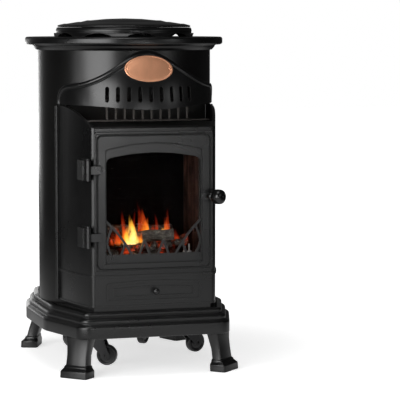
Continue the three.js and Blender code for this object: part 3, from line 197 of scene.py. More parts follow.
def grid_faces(rows, columns, wrap_rows=False, wrap_columns=False):
    """Quads between neighbouring rows and columns of a grid of points, as one array."""
    r = np.arange(rows if wrap_rows else rows - 1)
    c = np.arange(columns if wrap_columns else columns - 1)
    r, c = np.meshgrid(r, c, indexing="ij")
    r2, c2 = (r + 1) % rows, (c + 1) % columns
    quads = np.stack([r * columns + c, r * columns + c2, r2 * columns + c2, r2 * columns + c], -1)
    return quads.reshape(-1, 4)


def joined(parts):
    """Several (points, faces) bodies as one."""
    points, faces, start = [], [], 0
    for part_points, part_faces in parts:
        points.append(part_points.reshape(-1, 3))
        faces.append(part_faces + start)
        start += len(points[-1])
    return np.concatenate(points), np.concatenate(faces)


def like_grids(points):
    """Grids of one size as one body, each closed round its columns: points is (grids, rows, columns, 3)."""
    count, rows, columns = points.shape[:3]
    starts = rows * columns * np.arange(count)
    faces = grid_faces(rows, columns, wrap_columns=True)
    return points, (faces + starts[:, None, None]).reshape(-1, 4)


def in_scene(name, data):
    """A new object with its data, linked to the scene."""
    item = bpy.data.objects.new(name, data)
    bpy.context.scene.collection.objects.link(item)
    return item


def new_piece(name, part, look, body, crease=42.0, layers=None):
    """A finished piece from one array of points, in millimetres from the drum's axis, and one of quads.
    Doubles at poles are merged, faces are turned outwards, and the shading is smooth but for edges over the
    crease angle. Layers are named values, one for each point, that the piece's material reads."""
    points, faces = part
    mesh = bpy.data.meshes.new(name)
    points = (points.reshape(-1, 3) + (0.0, AXIS_Y, 0.0)) * MM
    mesh.from_pydata(points.tolist(), [], faces.tolist())
    for label, values in (layers or {}).items():
        layer = mesh.attributes.new(label, "FLOAT", "POINT")
        layer.data.foreach_set("value", values.ravel().astype(np.float32))
    work = bmesh.new()
    work.from_mesh(mesh)
    bmesh.ops.remove_doubles(work, verts=work.verts, dist=2e-6)
    loose = [edge for edge in work.edges if not edge.link_faces]
    bmesh.ops.delete(work, geom=loose, context="EDGES")
    bmesh.ops.recalc_face_normals(work, faces=work.faces)
    work.to_mesh(mesh)
    work.free()
    mesh.shade_smooth()
    mesh.set_sharp_from_angle(angle=math.radians(crease))
    mesh.materials.append(LOOKS[look])
    piece = in_scene(name, mesh)
    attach(piece, body)
    return piece


def stands_for(node, part, look, crease=42.0):
    """A new piece in the place of one solid, riding on the solid's own body."""
    piece = new_piece(node + "_dressed", part, look, frame["nodes"][node]["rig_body"], crease)
    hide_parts(node)
    return piece


def mark_creases(mesh, crease):
    """Marks each edge of a closed mesh sharp where its two faces turn from each other by over an angle."""
    corners = np.empty(len(mesh.polygons), np.int32)
    mesh.polygons.foreach_get("loop_total", corners)
    owners = np.repeat(np.arange(len(corners)), corners)
    edges = np.empty(len(mesh.loops), np.int32)
    mesh.loops.foreach_get("edge_index", edges)
    normals = np.empty(len(corners) * 3)
    mesh.polygons.foreach_get("normal", normals)
    normals = normals.reshape(-1, 3)
    first, second = owners[np.argsort(edges, kind="stable")].reshape(-1, 2).T
    alike = (normals[first] * normals[second]).sum(axis=1)
    mesh.edges.foreach_set("use_edge_sharp", alike < math.cos(math.radians(crease)))
    mesh.update()


def rolled(work, half_angle, facets, strips=4):
    """Turns the flat facets of a sheet round the drum's back into an arc. The facets are cut into upright
    strips; then each point's radius is multiplied by cos(o) (1 + 1 / cos(h)) / 2, where o is its angle from
    the middle of its facet and h half a facet. That puts it midway between a facet's edge and middle."""
    facet = 2 * half_angle / facets
    for turn in (np.arange(1, facets * strips) / strips * facet - half_angle).tolist():
        whole = [*work.verts, *work.edges, *work.faces]
        bmesh.ops.bisect_plane(work, geom=whole, dist=1e-6, plane_co=(0, AXIS_Y * MM, 0),
                               plane_no=(math.cos(turn), -math.sin(turn), 0))
    mesh = bpy.data.meshes.new("rolled_sheet")
    work.to_mesh(mesh)
    points = np.empty(len(mesh.vertices) * 3)
    mesh.vertices.foreach_get("co", points)
    points = points.reshape(-1, 3) - (0, AXIS_Y * MM, 0)
    radius = np.hypot(points[:, 0], points[:, 1])
    angle = np.arctan2(points[:, 0], points[:, 1])
    offset = (angle + half_angle) % facet - facet / 2
    low, high = np.array(REAR_COVER_R) * MM
    on_sheet = (np.abs(angle) < half_angle + 1e-4) & (radius > low) & (radius < high)
    share = np.cos(offset) * (1 + 1 / math.cos(facet / 2)) / 2
    points[:, :2] *= np.where(on_sheet, share, 1.0)[:, None]
    mesh.vertices.foreach_set("co", (points + (0, AXIS_Y * MM, 0)).ravel())
    work.clear()
    work.from_mesh(mesh)
    bpy.data.meshes.remove(mesh)


def refined(node, look, crease=28.0, soften=0.0, arc=None):
    """A merged copy of a solid's mesh in its place, shaded smooth by the size of its faces, with edges that
    may be softened by a small bevel and facets that may be rolled into an arc."""
    source = frame["nodes"][node]
    work = bmesh.new()
    work.from_mesh(source.data)
    bmesh.ops.remove_doubles(work, verts=work.verts, dist=2e-6)
    bmesh.ops.dissolve_limit(work, angle_limit=math.radians(0.3), verts=work.verts, edges=work.edges)
    if arc:
        rolled(work, *arc)
    mesh = bpy.data.meshes.new(node + "_dressed")
    work.to_mesh(mesh)
    work.free()
    mesh.shade_smooth()
    mark_creases(mesh, crease)
    mesh.materials.clear()
    mesh.materials.append(LOOKS[look])
    piece = in_scene(node + "_dressed", mesh)
    if soften:
        bevel = piece.modifiers.new("softened_edges", "BEVEL")
        bevel.width = soften * MM
        bevel.segments = 2
        bevel.limit_method = "ANGLE"
        bevel.angle_limit = math.radians(crease)
        bevel.harden_normals = True
    else:
        weighted = piece.modifiers.new("even_shading", "WEIGHTED_NORMAL")
        weighted.keep_sharp = True
    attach(piece, source["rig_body"])
    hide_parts(node)
    return piece


def repaint(node, look):
    """A new material on a solid that keeps its own mesh."""
    mesh = frame["nodes"][node].data
    mesh.materials.clear()
    mesh.materials.append(LOOKS[look])


def softened(outline, radius, steps=4):
    """A closed outline with round corners: each corner becomes a parabola that starts and ends the radius
    away from it, or 0.42 of an edge away where the edge is short."""
    corner = np.asarray(outline, float)

    def toward(other):
        edge = other - corner
        length = np.maximum(np.linalg.norm(edge, axis=1), 1e-6)
        return corner + edge * np.minimum(0.42, radius / length)[:, None]

    start, end = toward(np.roll(corner, 1, axis=0)), toward(np.roll(corner, -1, axis=0))
    t = np.linspace(0, 1, steps + 1)[None, :, None]
    curve = (1 - t) ** 2 * start[:, None] + 2 * t * (1 - t) * corner[:, None] + t ** 2 * end[:, None]
    return curve.reshape(-1, 2)


def spun(outline, origin=(0, 0, 0), axis=(0, 0, 1), segments=216):
    """A closed outline of (radius, height) turned about an axis: origin + height along the axis + radius
    times (u cos t + v sin t), where u and v are square to the axis."""
    axis = np.asarray(axis, float) / np.linalg.norm(axis)
    helper = np.array((1.0, 0, 0)) if abs(axis[2]) > 0.9 else np.array((0, 0, 1.0))
    u = np.cross(helper, axis)
    u /= np.linalg.norm(u)
    v = np.cross(axis, u)
    t = np.linspace(0, 2 * np.pi, segments, endpoint=False)[None, :, None]
    radius, height = outline[:, 0][:, None, None], outline[:, 1][:, None, None]
    points = np.asarray(origin) + height * axis + radius * (u * np.cos(t) + v * np.sin(t))
    return points, grid_faces(len(outline), segments, True, True)


def round_front(radius, angle, height):
    """Points at a radius from the drum's axis and an angle from the front."""
    return np.stack(np.broadcast_arrays(radius * np.sin(angle), -radius * np.cos(angle), height), -1)


def walled(outer, inner, kept, wrap=False):
    """A sheet between two grids of points, closed round its rims and round each opening; kept marks the
    cells that are there. Each rim is a strip of quads from the outer grid to the inner one."""
    rows, columns = outer.shape[:2]
    count = rows * columns
    r, c = np.nonzero(kept)
    corners = np.stack([r * columns + c, r * columns + (c + 1) % columns,
                        (r + 1) * columns + (c + 1) % columns, (r + 1) * columns + c], -1)
    faces = [corners, corners[:, ::-1] + count]
    fringe = np.pad(kept, 1)
    if wrap:
        fringe[1:-1, 0], fringe[1:-1, -1] = kept[:, -1], kept[:, 0]
    neighbours = (fringe[r, c + 1], fringe[r + 1, c + 2], fringe[r + 2, c + 1], fringe[r + 1, c])
    for side, beside in enumerate(neighbours):
        first, second = corners[~beside, side], corners[~beside, (side + 1) % 4]
        faces.append(np.stack([second, first, first + count, second + count], -1))
    return np.concatenate([outer.reshape(-1, 3), inner.reshape(-1, 3)]), np.concatenate(faces)


def along_x(outline, low, high):
    """A closed (y, z) outline carried from one x to another, each end closed by quads to a middle point."""
    outline = np.asarray(outline, float)
    middle = np.repeat(outline.mean(axis=0)[None], len(outline), axis=0)
    rings = [np.insert(ring, 0, x, axis=1) for ring, x in
             ((middle, low), (outline, low), (outline, high), (middle, high))]
    return np.stack(rings), grid_faces(4, len(outline), False, True)


def feed(tree, value, socket):
    """Links a socket to an input, or gives the input a plain value."""
    if isinstance(value, bpy.types.NodeSocket):
        tree.links.new(value, socket)
    else:
        socket.default_value = value


def fill(tree, node, **values):
    """Gives settings and inputs of a node their values by name, where an input's value may be a socket."""
    for key, value in values.items():
        if hasattr(node, key):
            setattr(node, key, value)
        else:
            feed(tree, value, node.inputs[key.replace("_", " ")])
    return node


def add_node(tree, kind, **values):
    """One new shader node with its values."""
    return fill(tree, tree.nodes.new("ShaderNode" + kind), **values)


def new_group(name, inputs, outputs):
    """An empty shader group of numbers: inputs are names with defaults, outputs are names."""
    group = bpy.data.node_groups.new(name, "ShaderNodeTree")
    for label, default in inputs.items():
        socket = group.interface.new_socket(label, in_out="INPUT", socket_type="NodeSocketFloat")
        socket.default_value = default
    for label in outputs:
        group.interface.new_socket(label, in_out="OUTPUT", socket_type="NodeSocketFloat")
    return group, group.nodes.new("NodeGroupInput").outputs, group.nodes.new("NodeGroupOutput")


def place_group(tree, name, **values):
    """A group placed in a material with its own values; returns its outputs."""
    node = add_node(tree, "Group", node_tree=bpy.data.node_groups[name])
    return fill(tree, node, **values).outputs


def maths(tree, operation, *values, clamp=False):
    """A Math node between sockets or numbers."""
    node = add_node(tree, "Math", operation=operation, use_clamp=clamp)
    for value, socket in zip(values, node.inputs):
        feed(tree, value, socket)
    return node.outputs[0]


def vector_maths(tree, operation, *values, result="Value"):
    """A VectorMath node between sockets or triples of numbers."""
    node = add_node(tree, "VectorMath", operation=operation)
    for value, socket in zip(values, node.inputs):
        feed(tree, value, socket)
    return node.outputs[result]


def product(tree, first, *others):
    """The product of sockets or numbers, held between 0 and 1."""
    for other in others:
        first = maths(tree, "MULTIPLY", first, other, clamp=True)
    return first


def opposite(tree, value):
    """One less a value."""
    return maths(tree, "SUBTRACT", 1.0, value)


def smooth_step(tree, value, low, high):
    """A soft mask that is 0 below low and 1 above high."""
    return add_node(tree, "MapRange", interpolation_type="SMOOTHSTEP", Value=value, From_Min=low,
                    From_Max=high).outputs["Result"]


def object_place(tree):
    """Object coordinates."""
    return add_node(tree, "TexCoord").outputs["Object"]


def stretched(tree, place, scale):
    """Coordinates drawn out by a scale on each axis."""
    return add_node(tree, "Mapping", Vector=place, Scale=scale).outputs[0]


def noise(tree, place, scale, detail, roughness=0.55, distortion=0.0):
    """Noise over coordinates."""
    return add_node(tree, "TexNoise", Vector=place, Scale=scale, Detail=detail, Roughness=roughness,
                    Distortion=distortion).outputs["Fac"]


def mixed(tree, factor, first, second):
    """A colour mix; each colour is a socket or three numbers."""
    node = add_node(tree, "Mix", data_type="RGBA", Factor=factor)
    for value, socket in zip((first, second), [s for s in node.inputs if s.type == "RGBA"]):
        feed(tree, value if isinstance(value, bpy.types.NodeSocket) else (*value, 1.0), socket)
    return [s for s in node.outputs if s.type == "RGBA"][0]


def make_groups():
    """The shader groups that the finishes share.

    Sand-cast grain: fine bumps over slow waves, as a height, with a slow tone for colour and roughness.
    Edge wear: where a wide rounded normal departs from the face's own, broken up by noise.
    Settled dust: the upward part of the normal, softened and broken by noise.
    Crevice dirt: where nearby surfaces hide part of the sky, by a sharp step."""
    group, enter, leave = new_group("sand_cast_grain", {"Grain Scale": 620.0, "Wave Scale": 30.0},
                                    ["Height", "Tone"])
    place = object_place(group)
    grain = noise(group, place, enter["Grain Scale"], 3.0, 0.5)
    wave = noise(group, place, enter["Wave Scale"], 2.0, 0.5)
    tone = smooth_step(group, noise(group, place, 7.0, 5.0, 0.6, 0.4), 0.3, 0.7)
    fill(group, leave, Height=maths(group, "MULTIPLY", maths(group, "ADD", grain, wave), 0.5), Tone=tone)

    group, enter, leave = new_group("edge_wear", {"Reach": 0.0016, "Amount": 0.5}, ["Mask"])
    rounded = add_node(group, "Bevel", samples=4, Radius=enter["Reach"]).outputs[0]
    own = add_node(group, "NewGeometry").outputs["Normal"]
    departure = opposite(group, vector_maths(group, "DOT_PRODUCT", rounded, own))
    edge = smooth_step(group, departure, 0.01, 0.16)
    patches = smooth_step(group, noise(group, object_place(group), 90.0, 5.0, 0.65), 0.35, 0.62)
    fill(group, leave, Mask=product(group, edge, patches, enter["Amount"]))

    group, enter, leave = new_group("settled_dust", {"Amount": 0.3}, ["Mask"])
    parts = add_node(group, "SeparateXYZ", Vector=add_node(group, "NewGeometry").outputs["Normal"])
    up = smooth_step(group, parts.outputs["Z"], 0.55, 1.0)
    clouds = smooth_step(group, noise(group, object_place(group), 24.0, 6.0, 0.6), 0.3, 0.8)
    fill(group, leave, Mask=product(group, up, clouds, enter["Amount"]))

    group, enter, leave = new_group("crevice_dirt", {"Reach": 0.005}, ["Mask"])
    sky = add_node(group, "AmbientOcclusion", samples=4, Distance=enter["Reach"]).outputs["AO"]
    fill(group, leave, Mask=smooth_step(group, opposite(group, sky), 0.12, 0.5))


def fresh_material(name):
    """A material with one Principled shader and its output."""
    material = bpy.data.materials.new(name)
    material.use_nodes = True
    tree = material.node_tree
    tree.nodes.clear()
    shader = add_node(tree, "BsdfPrincipled")
    add_node(tree, "OutputMaterial", Surface=shader.outputs[0])
    return material, tree, shader


def coated(name, colour, roughness, grain, relief, dust, edge=0.4, edge_colour=(0.05, 0.048, 0.046),
           edge_round=0.002, dirt=0.0, reach=0.005, metallic=0.0, spread=0.07, wave=30.0):
    """Painted or plain metal and plastic: slow tone changes, cast or rolled grain with its relief in metres,
    worn edges, settled dust and, where its share is given, dull dirt in the crevices."""
    dust_colour = (0.05, 0.047, 0.044)
    material, tree, shader = fresh_material(name)
    grained = place_group(tree, "sand_cast_grain", Grain_Scale=grain, Wave_Scale=wave)
    worn = place_group(tree, "edge_wear", Amount=edge)["Mask"]
    dusted = place_group(tree, "settled_dust", Amount=dust)["Mask"]
    darker, lighter = [c * 0.86 for c in colour], [min(1.0, c * 1.14) for c in colour]
    tone = mixed(tree, worn, mixed(tree, grained["Tone"], darker, lighter), edge_colour)
    rough = maths(tree, "MULTIPLY_ADD", grained["Tone"], spread, roughness - spread / 2)
    if dirt:
        grimed = place_group(tree, "crevice_dirt", Reach=reach)["Mask"]
        rough = maths(tree, "MULTIPLY_ADD", grimed, dirt, rough)
    rounded = add_node(tree, "Bevel", samples=4, Radius=edge_round).outputs[0]
    bump = add_node(tree, "Bump", Distance=relief, Height=grained["Height"], Normal=rounded)
    fill(tree, shader, Base_Color=mixed(tree, dusted, tone, dust_colour), Normal=bump.outputs[0],
         Roughness=maths(tree, "MULTIPLY_ADD", dusted, 0.35, rough, clamp=True), Metallic=metallic)
    return material


def make_looks():
    """Every finish on the heater, by name: paints, metals and plastics, then ceramics, flame and glass."""
    make_groups()
    paint = bpy.context.scene.stove_paint
    iron, sheet, badge = tuple(paint.iron_colour), tuple(paint.sheet_colour), tuple(paint.badge_colour)
    satin, grain = paint.iron_roughness, 1.0 / paint.grain_size
    coats = {
        # look: (material, colour, roughness, grain scale, relief, what differs from a plain coat)
        "iron": ("stove_paint_on_iron", iron, satin, grain, 0.00006,
                 {"edge": 0.3, "edge_round": 0.0007, "dust": 0.08, "dirt": 0.6}),
        "turned": ("stove_paint_on_turned_iron", iron, satin, grain, 0.00006,
                   {"edge": 0.15, "dust": 0.06, "dirt": 0.5}),
        "plinth": ("stove_paint_on_plinth", iron, satin, grain, 0.0001,
                   {"edge": 0.15, "dust": 0.06, "dirt": 0.6, "reach": 0.014}),
        "knob": ("gloss_paint_on_knobs", iron, 0.2, grain, 0.00003, {"edge": 0.1, "dust": 0.1}),
        "sheet": ("enamel_on_sheet", sheet, 0.3, 420.0, 0.00003, {"edge": 0.1, "dust": 0.1, "spread": 0.04}),
        "inner_sheet": ("dark_heat_coating", (0.004, 0.0036, 0.0034), 0.72, 300.0, 0.00008, {"dust": 0.05}),
        "bars": ("bare_guard_bars", (0.035, 0.032, 0.03), 0.3, 500.0, 0.00004,
                 {"dust": 0.05, "metallic": 1.0}),
        "zinc": ("bright_zinc", (0.42, 0.42, 0.43), 0.34, 500.0, 0.00003,
                 {"edge": 0.3, "edge_colour": (0.6, 0.6, 0.6), "dust": 0.1, "metallic": 1.0}),
        "blacked": ("blacked_steel", (0.03, 0.03, 0.031), 0.33, 500.0, 0.00004,
                    {"edge": 0.5, "edge_colour": (0.16, 0.155, 0.15), "dust": 0.15, "metallic": 0.6}),
        "brass": ("plain_brass", (0.68, 0.47, 0.2), 0.32, 500.0, 0.00003,
                  {"edge": 0.3, "edge_colour": (0.85, 0.65, 0.35), "dust": 0.1, "metallic": 1.0}),
        "copper": ("badge_copper", badge, 0.4, 300.0, 0.00025,
                   {"edge": 0.3, "edge_colour": (0.95, 0.66, 0.48), "dust": 0.05, "metallic": 0.75,
                    "wave": 150.0}),
        "plastic": ("knob_plastic", (0.02, 0.02, 0.021), 0.45, 900.0, 0.00005, {"edge": 0.1, "dust": 0.1}),
        "button": ("button_plastic", (0.42, 0.03, 0.025), 0.3, 900.0, 0.00001,
                   {"edge": 0.1, "edge_colour": (0.6, 0.1, 0.08), "dust": 0.1}),
        "wheel": ("castor_plastic", (0.014, 0.014, 0.0145), 0.3, 700.0, 0.00004, {"edge": 0.2, "dust": 0.2}),
    }
    for look, (name, colour, roughness, scale, relief, differing) in coats.items():
        LOOKS[look] = coated(name, colour, roughness, scale, relief, **differing)
    # Side panels: their flute valleys carry painted shade in the sooted colour
    LOOKS["fluted"] = panel_ceramic("fluted_ceramic", (0.036, 0.019, 0.015), (0.004, 0.002, 0.0015), 0.03)
    LOOKS["sooted"] = panel_ceramic("sooted_ceramic", (0.0012, 0.0012, 0.0016), (0.0004, 0.0004, 0.0006))
    LOOKS["coal"] = glowing_ceramic("ember_coal", 95.0, (0.52, 0.7))
    LOOKS["log"] = glowing_ceramic("charred_log", 60.0, (0.7, 0.85), bark=0.35)
    LOOKS["flame"] = flame_material()
    LOOKS["glass"] = door_glass_material()


def panel_ceramic(name, bare, sooted, flute=0.0):
    """Side and back panels: dark ceramic, sooted unevenly, with upright flutes along Y where their width in
    metres is given: each is a half sine, bare on its crown and given the sooted colour in the valley beside
    it as painted shade, on top of the uneven soot."""
    material, tree, shader = fresh_material(name)
    place = object_place(tree)
    soot_and_valley_shade = smooth_step(tree, noise(tree, place, 22.0, 6.0, 0.65), 0.35, 0.65)
    height = maths(tree, "MULTIPLY", noise(tree, place, 260.0, 5.0), 0.1)
    if flute:
        along = add_node(tree, "SeparateXYZ", Vector=place).outputs["Y"]
        crown = maths(tree, "ABSOLUTE", maths(tree, "SINE", maths(tree, "MULTIPLY", along, math.pi / flute)))
        # Flute valleys take the sooted colour as painted shade; the noise mask before this is uneven soot
        soot_and_valley_shade = maths(tree, "MAXIMUM", soot_and_valley_shade, opposite(tree, smooth_step(tree, crown, 0.2, 0.9)))
        height = maths(tree, "ADD", height, crown)
    fill(tree, shader, Base_Color=mixed(tree, soot_and_valley_shade, bare, sooted), Roughness=0.9, Specular_IOR_Level=0.05,
         Normal=add_node(tree, "Bump", Distance=0.004, Height=height).outputs[0])
    return material


def glowing_ceramic(name, crack_scale, hot_range, bark=1.0):
    """Charred ceramic fuel: black crust, speckled grey ash and cracks that glow red in hot patches. Bark is
    the scale along X, which draws the pattern out along a log."""
    crust, ash_grey, glow_red = (0.008, 0.007, 0.006), (0.11, 0.1, 0.085), (0.9, 0.07, 0.01)
    material, tree, shader = fresh_material(name)
    place = stretched(tree, object_place(tree), (bark, 1.0, 1.0))
    cells = add_node(tree, "TexVoronoi", feature="DISTANCE_TO_EDGE", Vector=place, Scale=crack_scale)
    crack = opposite(tree, smooth_step(tree, cells.outputs["Distance"], 0.0, 0.16))
    hot = smooth_step(tree, noise(tree, place, 24.0, 3.0, 0.6), *hot_range)
    glow = maths(tree, "MULTIPLY", maths(tree, "MULTIPLY_ADD", crack, 0.8, 0.25), hot, clamp=True)
    ash = smooth_step(tree, noise(tree, place, 210.0, 6.0, 0.75), 0.45, 0.68)
    height = maths(tree, "SUBTRACT", noise(tree, place, 120.0, 6.0, 0.7), crack)
    fill(tree, shader, Base_Color=mixed(tree, ash, crust, ash_grey), Roughness=0.9,
         Emission_Color=mixed(tree, glow, (0, 0, 0), glow_red),
         Emission_Strength=bpy.context.scene.stove_fire.ember_strength,
         Normal=add_node(tree, "Bump", Distance=0.0012, Height=height).outputs[0])
    return material


def flame_material():
    """Flame: light that fades at its outline and its tip. The flame_heat layer runs from red licks to a
    yellow core, and the rise layer from foot to tip."""
    colours = ((0.0, (0.3, 0.012, 0.003, 1)), (0.28, (0.8, 0.08, 0.012, 1)), (0.5, (1.0, 0.25, 0.02, 1)),
               (0.72, (1.2, 0.6, 0.06, 1)), (1.0, (1.5, 1.05, 0.4, 1)))
    material, tree, shader = fresh_material("flame")
    rise = add_node(tree, "Attribute", attribute_name="rise").outputs["Fac"]
    heat = add_node(tree, "Attribute", attribute_name="flame_heat").outputs["Fac"]
    warmth = maths(tree, "SUBTRACT", heat, maths(tree, "MULTIPLY", rise, 0.5), clamp=True)
    ramp = add_node(tree, "ValToRGB", Fac=warmth)
    stops = ramp.color_ramp.elements
    stops.remove(stops[1])
    stops[0].color = colours[0][1]
    for position, colour in colours[1:]:
        stops.new(position).color = colour
    facing = add_node(tree, "LayerWeight", Blend=0.5).outputs["Facing"]
    core = maths(tree, "POWER", opposite(tree, smooth_step(tree, facing, 0.0, 0.8)), 1.8)
    tip = opposite(tree, smooth_step(tree, rise, 0.12, 0.92))
    foot = smooth_step(tree, rise, 0.0, 0.2)
    place = stretched(tree, object_place(tree), (1.0, 1.0, 0.3))
    licks = smooth_step(tree, noise(tree, place, 90.0, 4.0, 0.6, 1.2), 0.3, 0.66)
    strength = maths(tree, "MULTIPLY_ADD", heat, 0.8, 0.2)
    fill(tree, shader, Base_Color=(0, 0, 0, 1), Specular_IOR_Level=0.0, Roughness=1.0,
         Emission_Color=ramp.outputs["Color"],
         Emission_Strength=bpy.context.scene.stove_fire.flame_strength,
         Alpha=product(tree, core, tip, licks, foot, strength))
    return material


def door_glass_material():
    """Clear heat-proof glass, coated against glare, with a light film of smoke."""
    material, tree, shader = fresh_material("clear_ceramic_glass")
    haze = smooth_step(tree, noise(tree, object_place(tree), 9.0, 5.0, 0.6), 0.4, 0.8)
    fill(tree, shader, Transmission_Weight=1.0, IOR=1.02, Specular_IOR_Level=0.0,
         Base_Color=mixed(tree, haze, (1.0, 0.985, 0.965), (0.9, 0.86, 0.82)),
         Roughness=maths(tree, "MULTIPLY", haze, 0.04))
    return material


def top_plate_part():
    """The flat rim over its cove: a softened outline turned round the drum's axis."""
    outline = softened([
        (128, 723), (128, RIM_TOP_Z), (219, RIM_TOP_Z), (222, 726), (222, 715), (218, 712), (206, 711),
        (203.5, 706), (198, 700), (194.4, 700), (194.4, 709), (184, 709), (184, 715.3), (171, 715.3),
        (171, 723)], 2.2)
    return spun(outline)


def top_ring_part():
    """The collar under the lid: a softened outline turned round the axis, whose points are lifted to the
    height of the arches at its foot. Each arch is a parabola between short slopes; the back has none."""
    low, top = RING_Z
    outline = softened([
        (137, low), (158, low), (156, 732.3), (152, 737.3), (153, 743.3), (151, top), (137, top)], 2.0)
    turn = np.linspace(0, 2 * np.pi, 720, endpoint=False)
    nearest = np.round(turn / ARCH_PITCH) * ARCH_PITCH
    across = np.abs(turn - nearest) * RING_MEAN_R
    inside = ARCH_FOOT + ARCH_RISE * (1 - (across / ARCH_HALF) ** 2)
    slope = ARCH_FOOT - (across - ARCH_HALF) * ARCH_FOOT / ARCH_SIDE
    lift = np.where(across < ARCH_HALF, inside, np.maximum(slope, 0.0))
    at_back = np.abs(nearest - np.pi) < math.radians(60)
    height = np.maximum(outline[:, 1][:, None], low + np.where(at_back, 0.0, lift))
    points = round_front(outline[:, 0][:, None], turn, height)
    return points, grid_faces(len(outline), len(turn), True, True)


def lid_part():
    """The stepped dome of the lid turned round the axis, and two hinge lugs, outlines carried along X."""
    dome = softened([
        (0, 765), (80, 761), (128, 754.4), (131, LID_LOW_Z), (149, LID_LOW_Z), (150, 753.6), (147.5, 755),
        (134, 758.4), (131, 757.8), (102, 762.4), (99, 761.6), (82, 765.8), (79, 765.2), (40, 768.8),
        (0, 770)], 1.6)
    turn = np.radians(np.linspace(-140, 100, 16))
    knuckle = (LID_HINGE_Y, LID_HINGE_Z) + LID_KNUCKLE_R * np.stack([np.cos(turn), np.sin(turn)], -1)
    lug = np.concatenate([[(137, LID_LOW_Z)], knuckle, [(150, 756.6), (137, 756.6)]])
    lugs = [along_x(lug, x - LID_LUG_HALF, x + LID_LUG_HALF) for x in (-LID_LUG_X, LID_LUG_X)]
    return joined([spun(dome), *lugs])


def plinth_outline(directions=240):
    """The plinth in plan: in each direction the outermost point of some circles, with that direction."""
    turn = np.linspace(0, 2 * np.pi, directions, endpoint=False)
    out = np.stack([np.sin(turn), -np.cos(turn)], -1)
    circles = np.array([(side * x, y, r) for x, y, r in PLINTH_ROUNDS for side in (1, -1)], float)
    reach = circles[:, :2] @ out.T + circles[:, 2][:, None]
    farthest = circles[reach.argmax(axis=0)]
    return farthest[:, :2] + farthest[:, 2][:, None] * out, out


def plinth_part():
    """The stepped moulding, a softened (outset, height) outline carried round the plan, and the deck inside
    it, a plate from the plan's line in to a round hole."""
    at, out = plinth_outline()
    moulding = softened([
        (0, 87), (0, 113), (-9.5, 118), (-8, 122.5), (-10, 128), (-19, 131), (-16.5, 135), (-18, 140.5),
        (-22, 142), (-34, 142), (-34, 138), (-24, 136), (-8, 110), (-8, 92), (-26, 91), (-26, 87)], 3.0)
    plan = at[None] + moulding[:, 0][:, None, None] * out[None]
    heights = np.repeat(moulding[:, 1][:, None], len(at), axis=1)
    points = np.concatenate([plan, heights[..., None]], -1)
    rim = at - DECK_INSET * out
    hole = DECK_HOLE_R * rim / np.linalg.norm(rim, axis=1)[:, None]
    low, top = DECK_Z
    rings = ((rim, low), (rim, top), (hole, top), (hole, low))
    deck = np.stack([np.insert(ring, 2, z, axis=1) for ring, z in rings])
    return joined([(points, grid_faces(len(moulding), len(at), True, True)),
                   (deck, grid_faces(4, len(at), True, True))])


def drum_part():
    """The rolled drum: two grids of angle and height, DRUM_WALL apart, without the cells of the front
    opening and of the bottle bay's opening at the back."""
    front_edge = math.degrees(math.asin(FRONT_CUT_HALF / DRUM_R))
    rear_edge = 180 - REAR_CUT_HALF_ANGLE
    right = np.concatenate([np.linspace(0, front_edge, 33)[:-1], np.linspace(front_edge, rear_edge, 49)[:-1],
                            np.linspace(rear_edge, 180, 29)])
    angles = np.radians(np.concatenate([right, 360 - right[-2:0:-1]]))
    heights = np.unique(np.concatenate([
        np.linspace(DRUM_Z[0], REAR_CUT_Z[0], 2), np.linspace(REAR_CUT_Z[0], FRONT_CUT_TOP_Z, 24),
        np.linspace(FRONT_CUT_TOP_Z, REAR_CUT_Z[1], 4), np.linspace(REAR_CUT_Z[1], DRUM_Z[1], 5)]))
    grids = [round_front(radius, angles, heights[:, None]) for radius in (DRUM_R, DRUM_R - DRUM_WALL)]
    middle = (heights[:-1, None] + heights[1:, None]) / 2
    beside = np.degrees(angles + np.diff(np.append(angles, angles[0] + 2 * np.pi)) / 2)
    from_front = np.minimum(beside, 360 - beside)
    front = (from_front < front_edge) & (middle < FRONT_CUT_TOP_Z)
    rear = (from_front > rear_edge) & (middle > REAR_CUT_Z[0]) & (middle < REAR_CUT_Z[1])
    return walled(*grids, ~(front | rear), wrap=True)


def crest_z(angle):
    """Height of the fascia's top edge: a bell over the badge, level shoulders, and a quarter ellipse at
    each end."""
    past = np.clip((np.abs(angle) - CREST_TURN) / (FASCIA_END - CREST_TURN), 0, 1)
    bell = CREST_SIDE_Z + (CREST_TOP_Z - CREST_SIDE_Z) * np.exp(-(angle / CREST_BELL) ** 2)
    return bell - CREST_DROP * (1 - np.sqrt(1 - past ** 2))


def fascia_low_z(angle):
    """Height of the fascia's bottom edge, which sags towards the middle as a bell turned over."""
    return FASCIA_LOW_Z + FASCIA_SAG * (1 - np.exp(-(angle / FASCIA_SAG_ANGLE) ** 2))


def fascia_points(angle, z, lift):
    """Points of the fascia at angles in degrees from the front: its radius swells towards the middle of its
    foot by one power of the angle times one of the height, and the lift is added to that radius."""
    low = fascia_low_z(angle)
    up = np.clip((z - low) / (CREST_TOP_Z - low), 0, 1)
    side = 1 - np.clip(np.abs(angle) / FASCIA_END, 0, 1) ** FASCIA_POWER
    radius = FASCIA_EDGE_R + FASCIA_BULGE * side * (1 - up ** FASCIA_POWER) + lift
    return round_front(radius, np.radians(angle), z)


def from_edge(angle, z):
    """Distance of each point to the fascia's top and end edges, both unrolled onto a flat sheet."""
    edge_angle = FASCIA_END * np.sin(np.linspace(-np.pi / 2, np.pi / 2, 500))
    line = np.stack([np.radians(edge_angle) * CREST_LINE_R, crest_z(edge_angle)], -1)
    here = np.stack([np.radians(angle) * CREST_LINE_R, z], -1)
    return np.sqrt(((here[..., None, :] - line) ** 2).sum(-1)).min(axis=-1)


def from_slot(angle):
    """Angle between each direction and the middle of the slot nearest to it."""
    number = np.round(np.clip(angle / SLOT_PITCH, -SLOTS_EACH_SIDE, SLOTS_EACH_SIDE))
    return np.abs(angle - number * SLOT_PITCH)


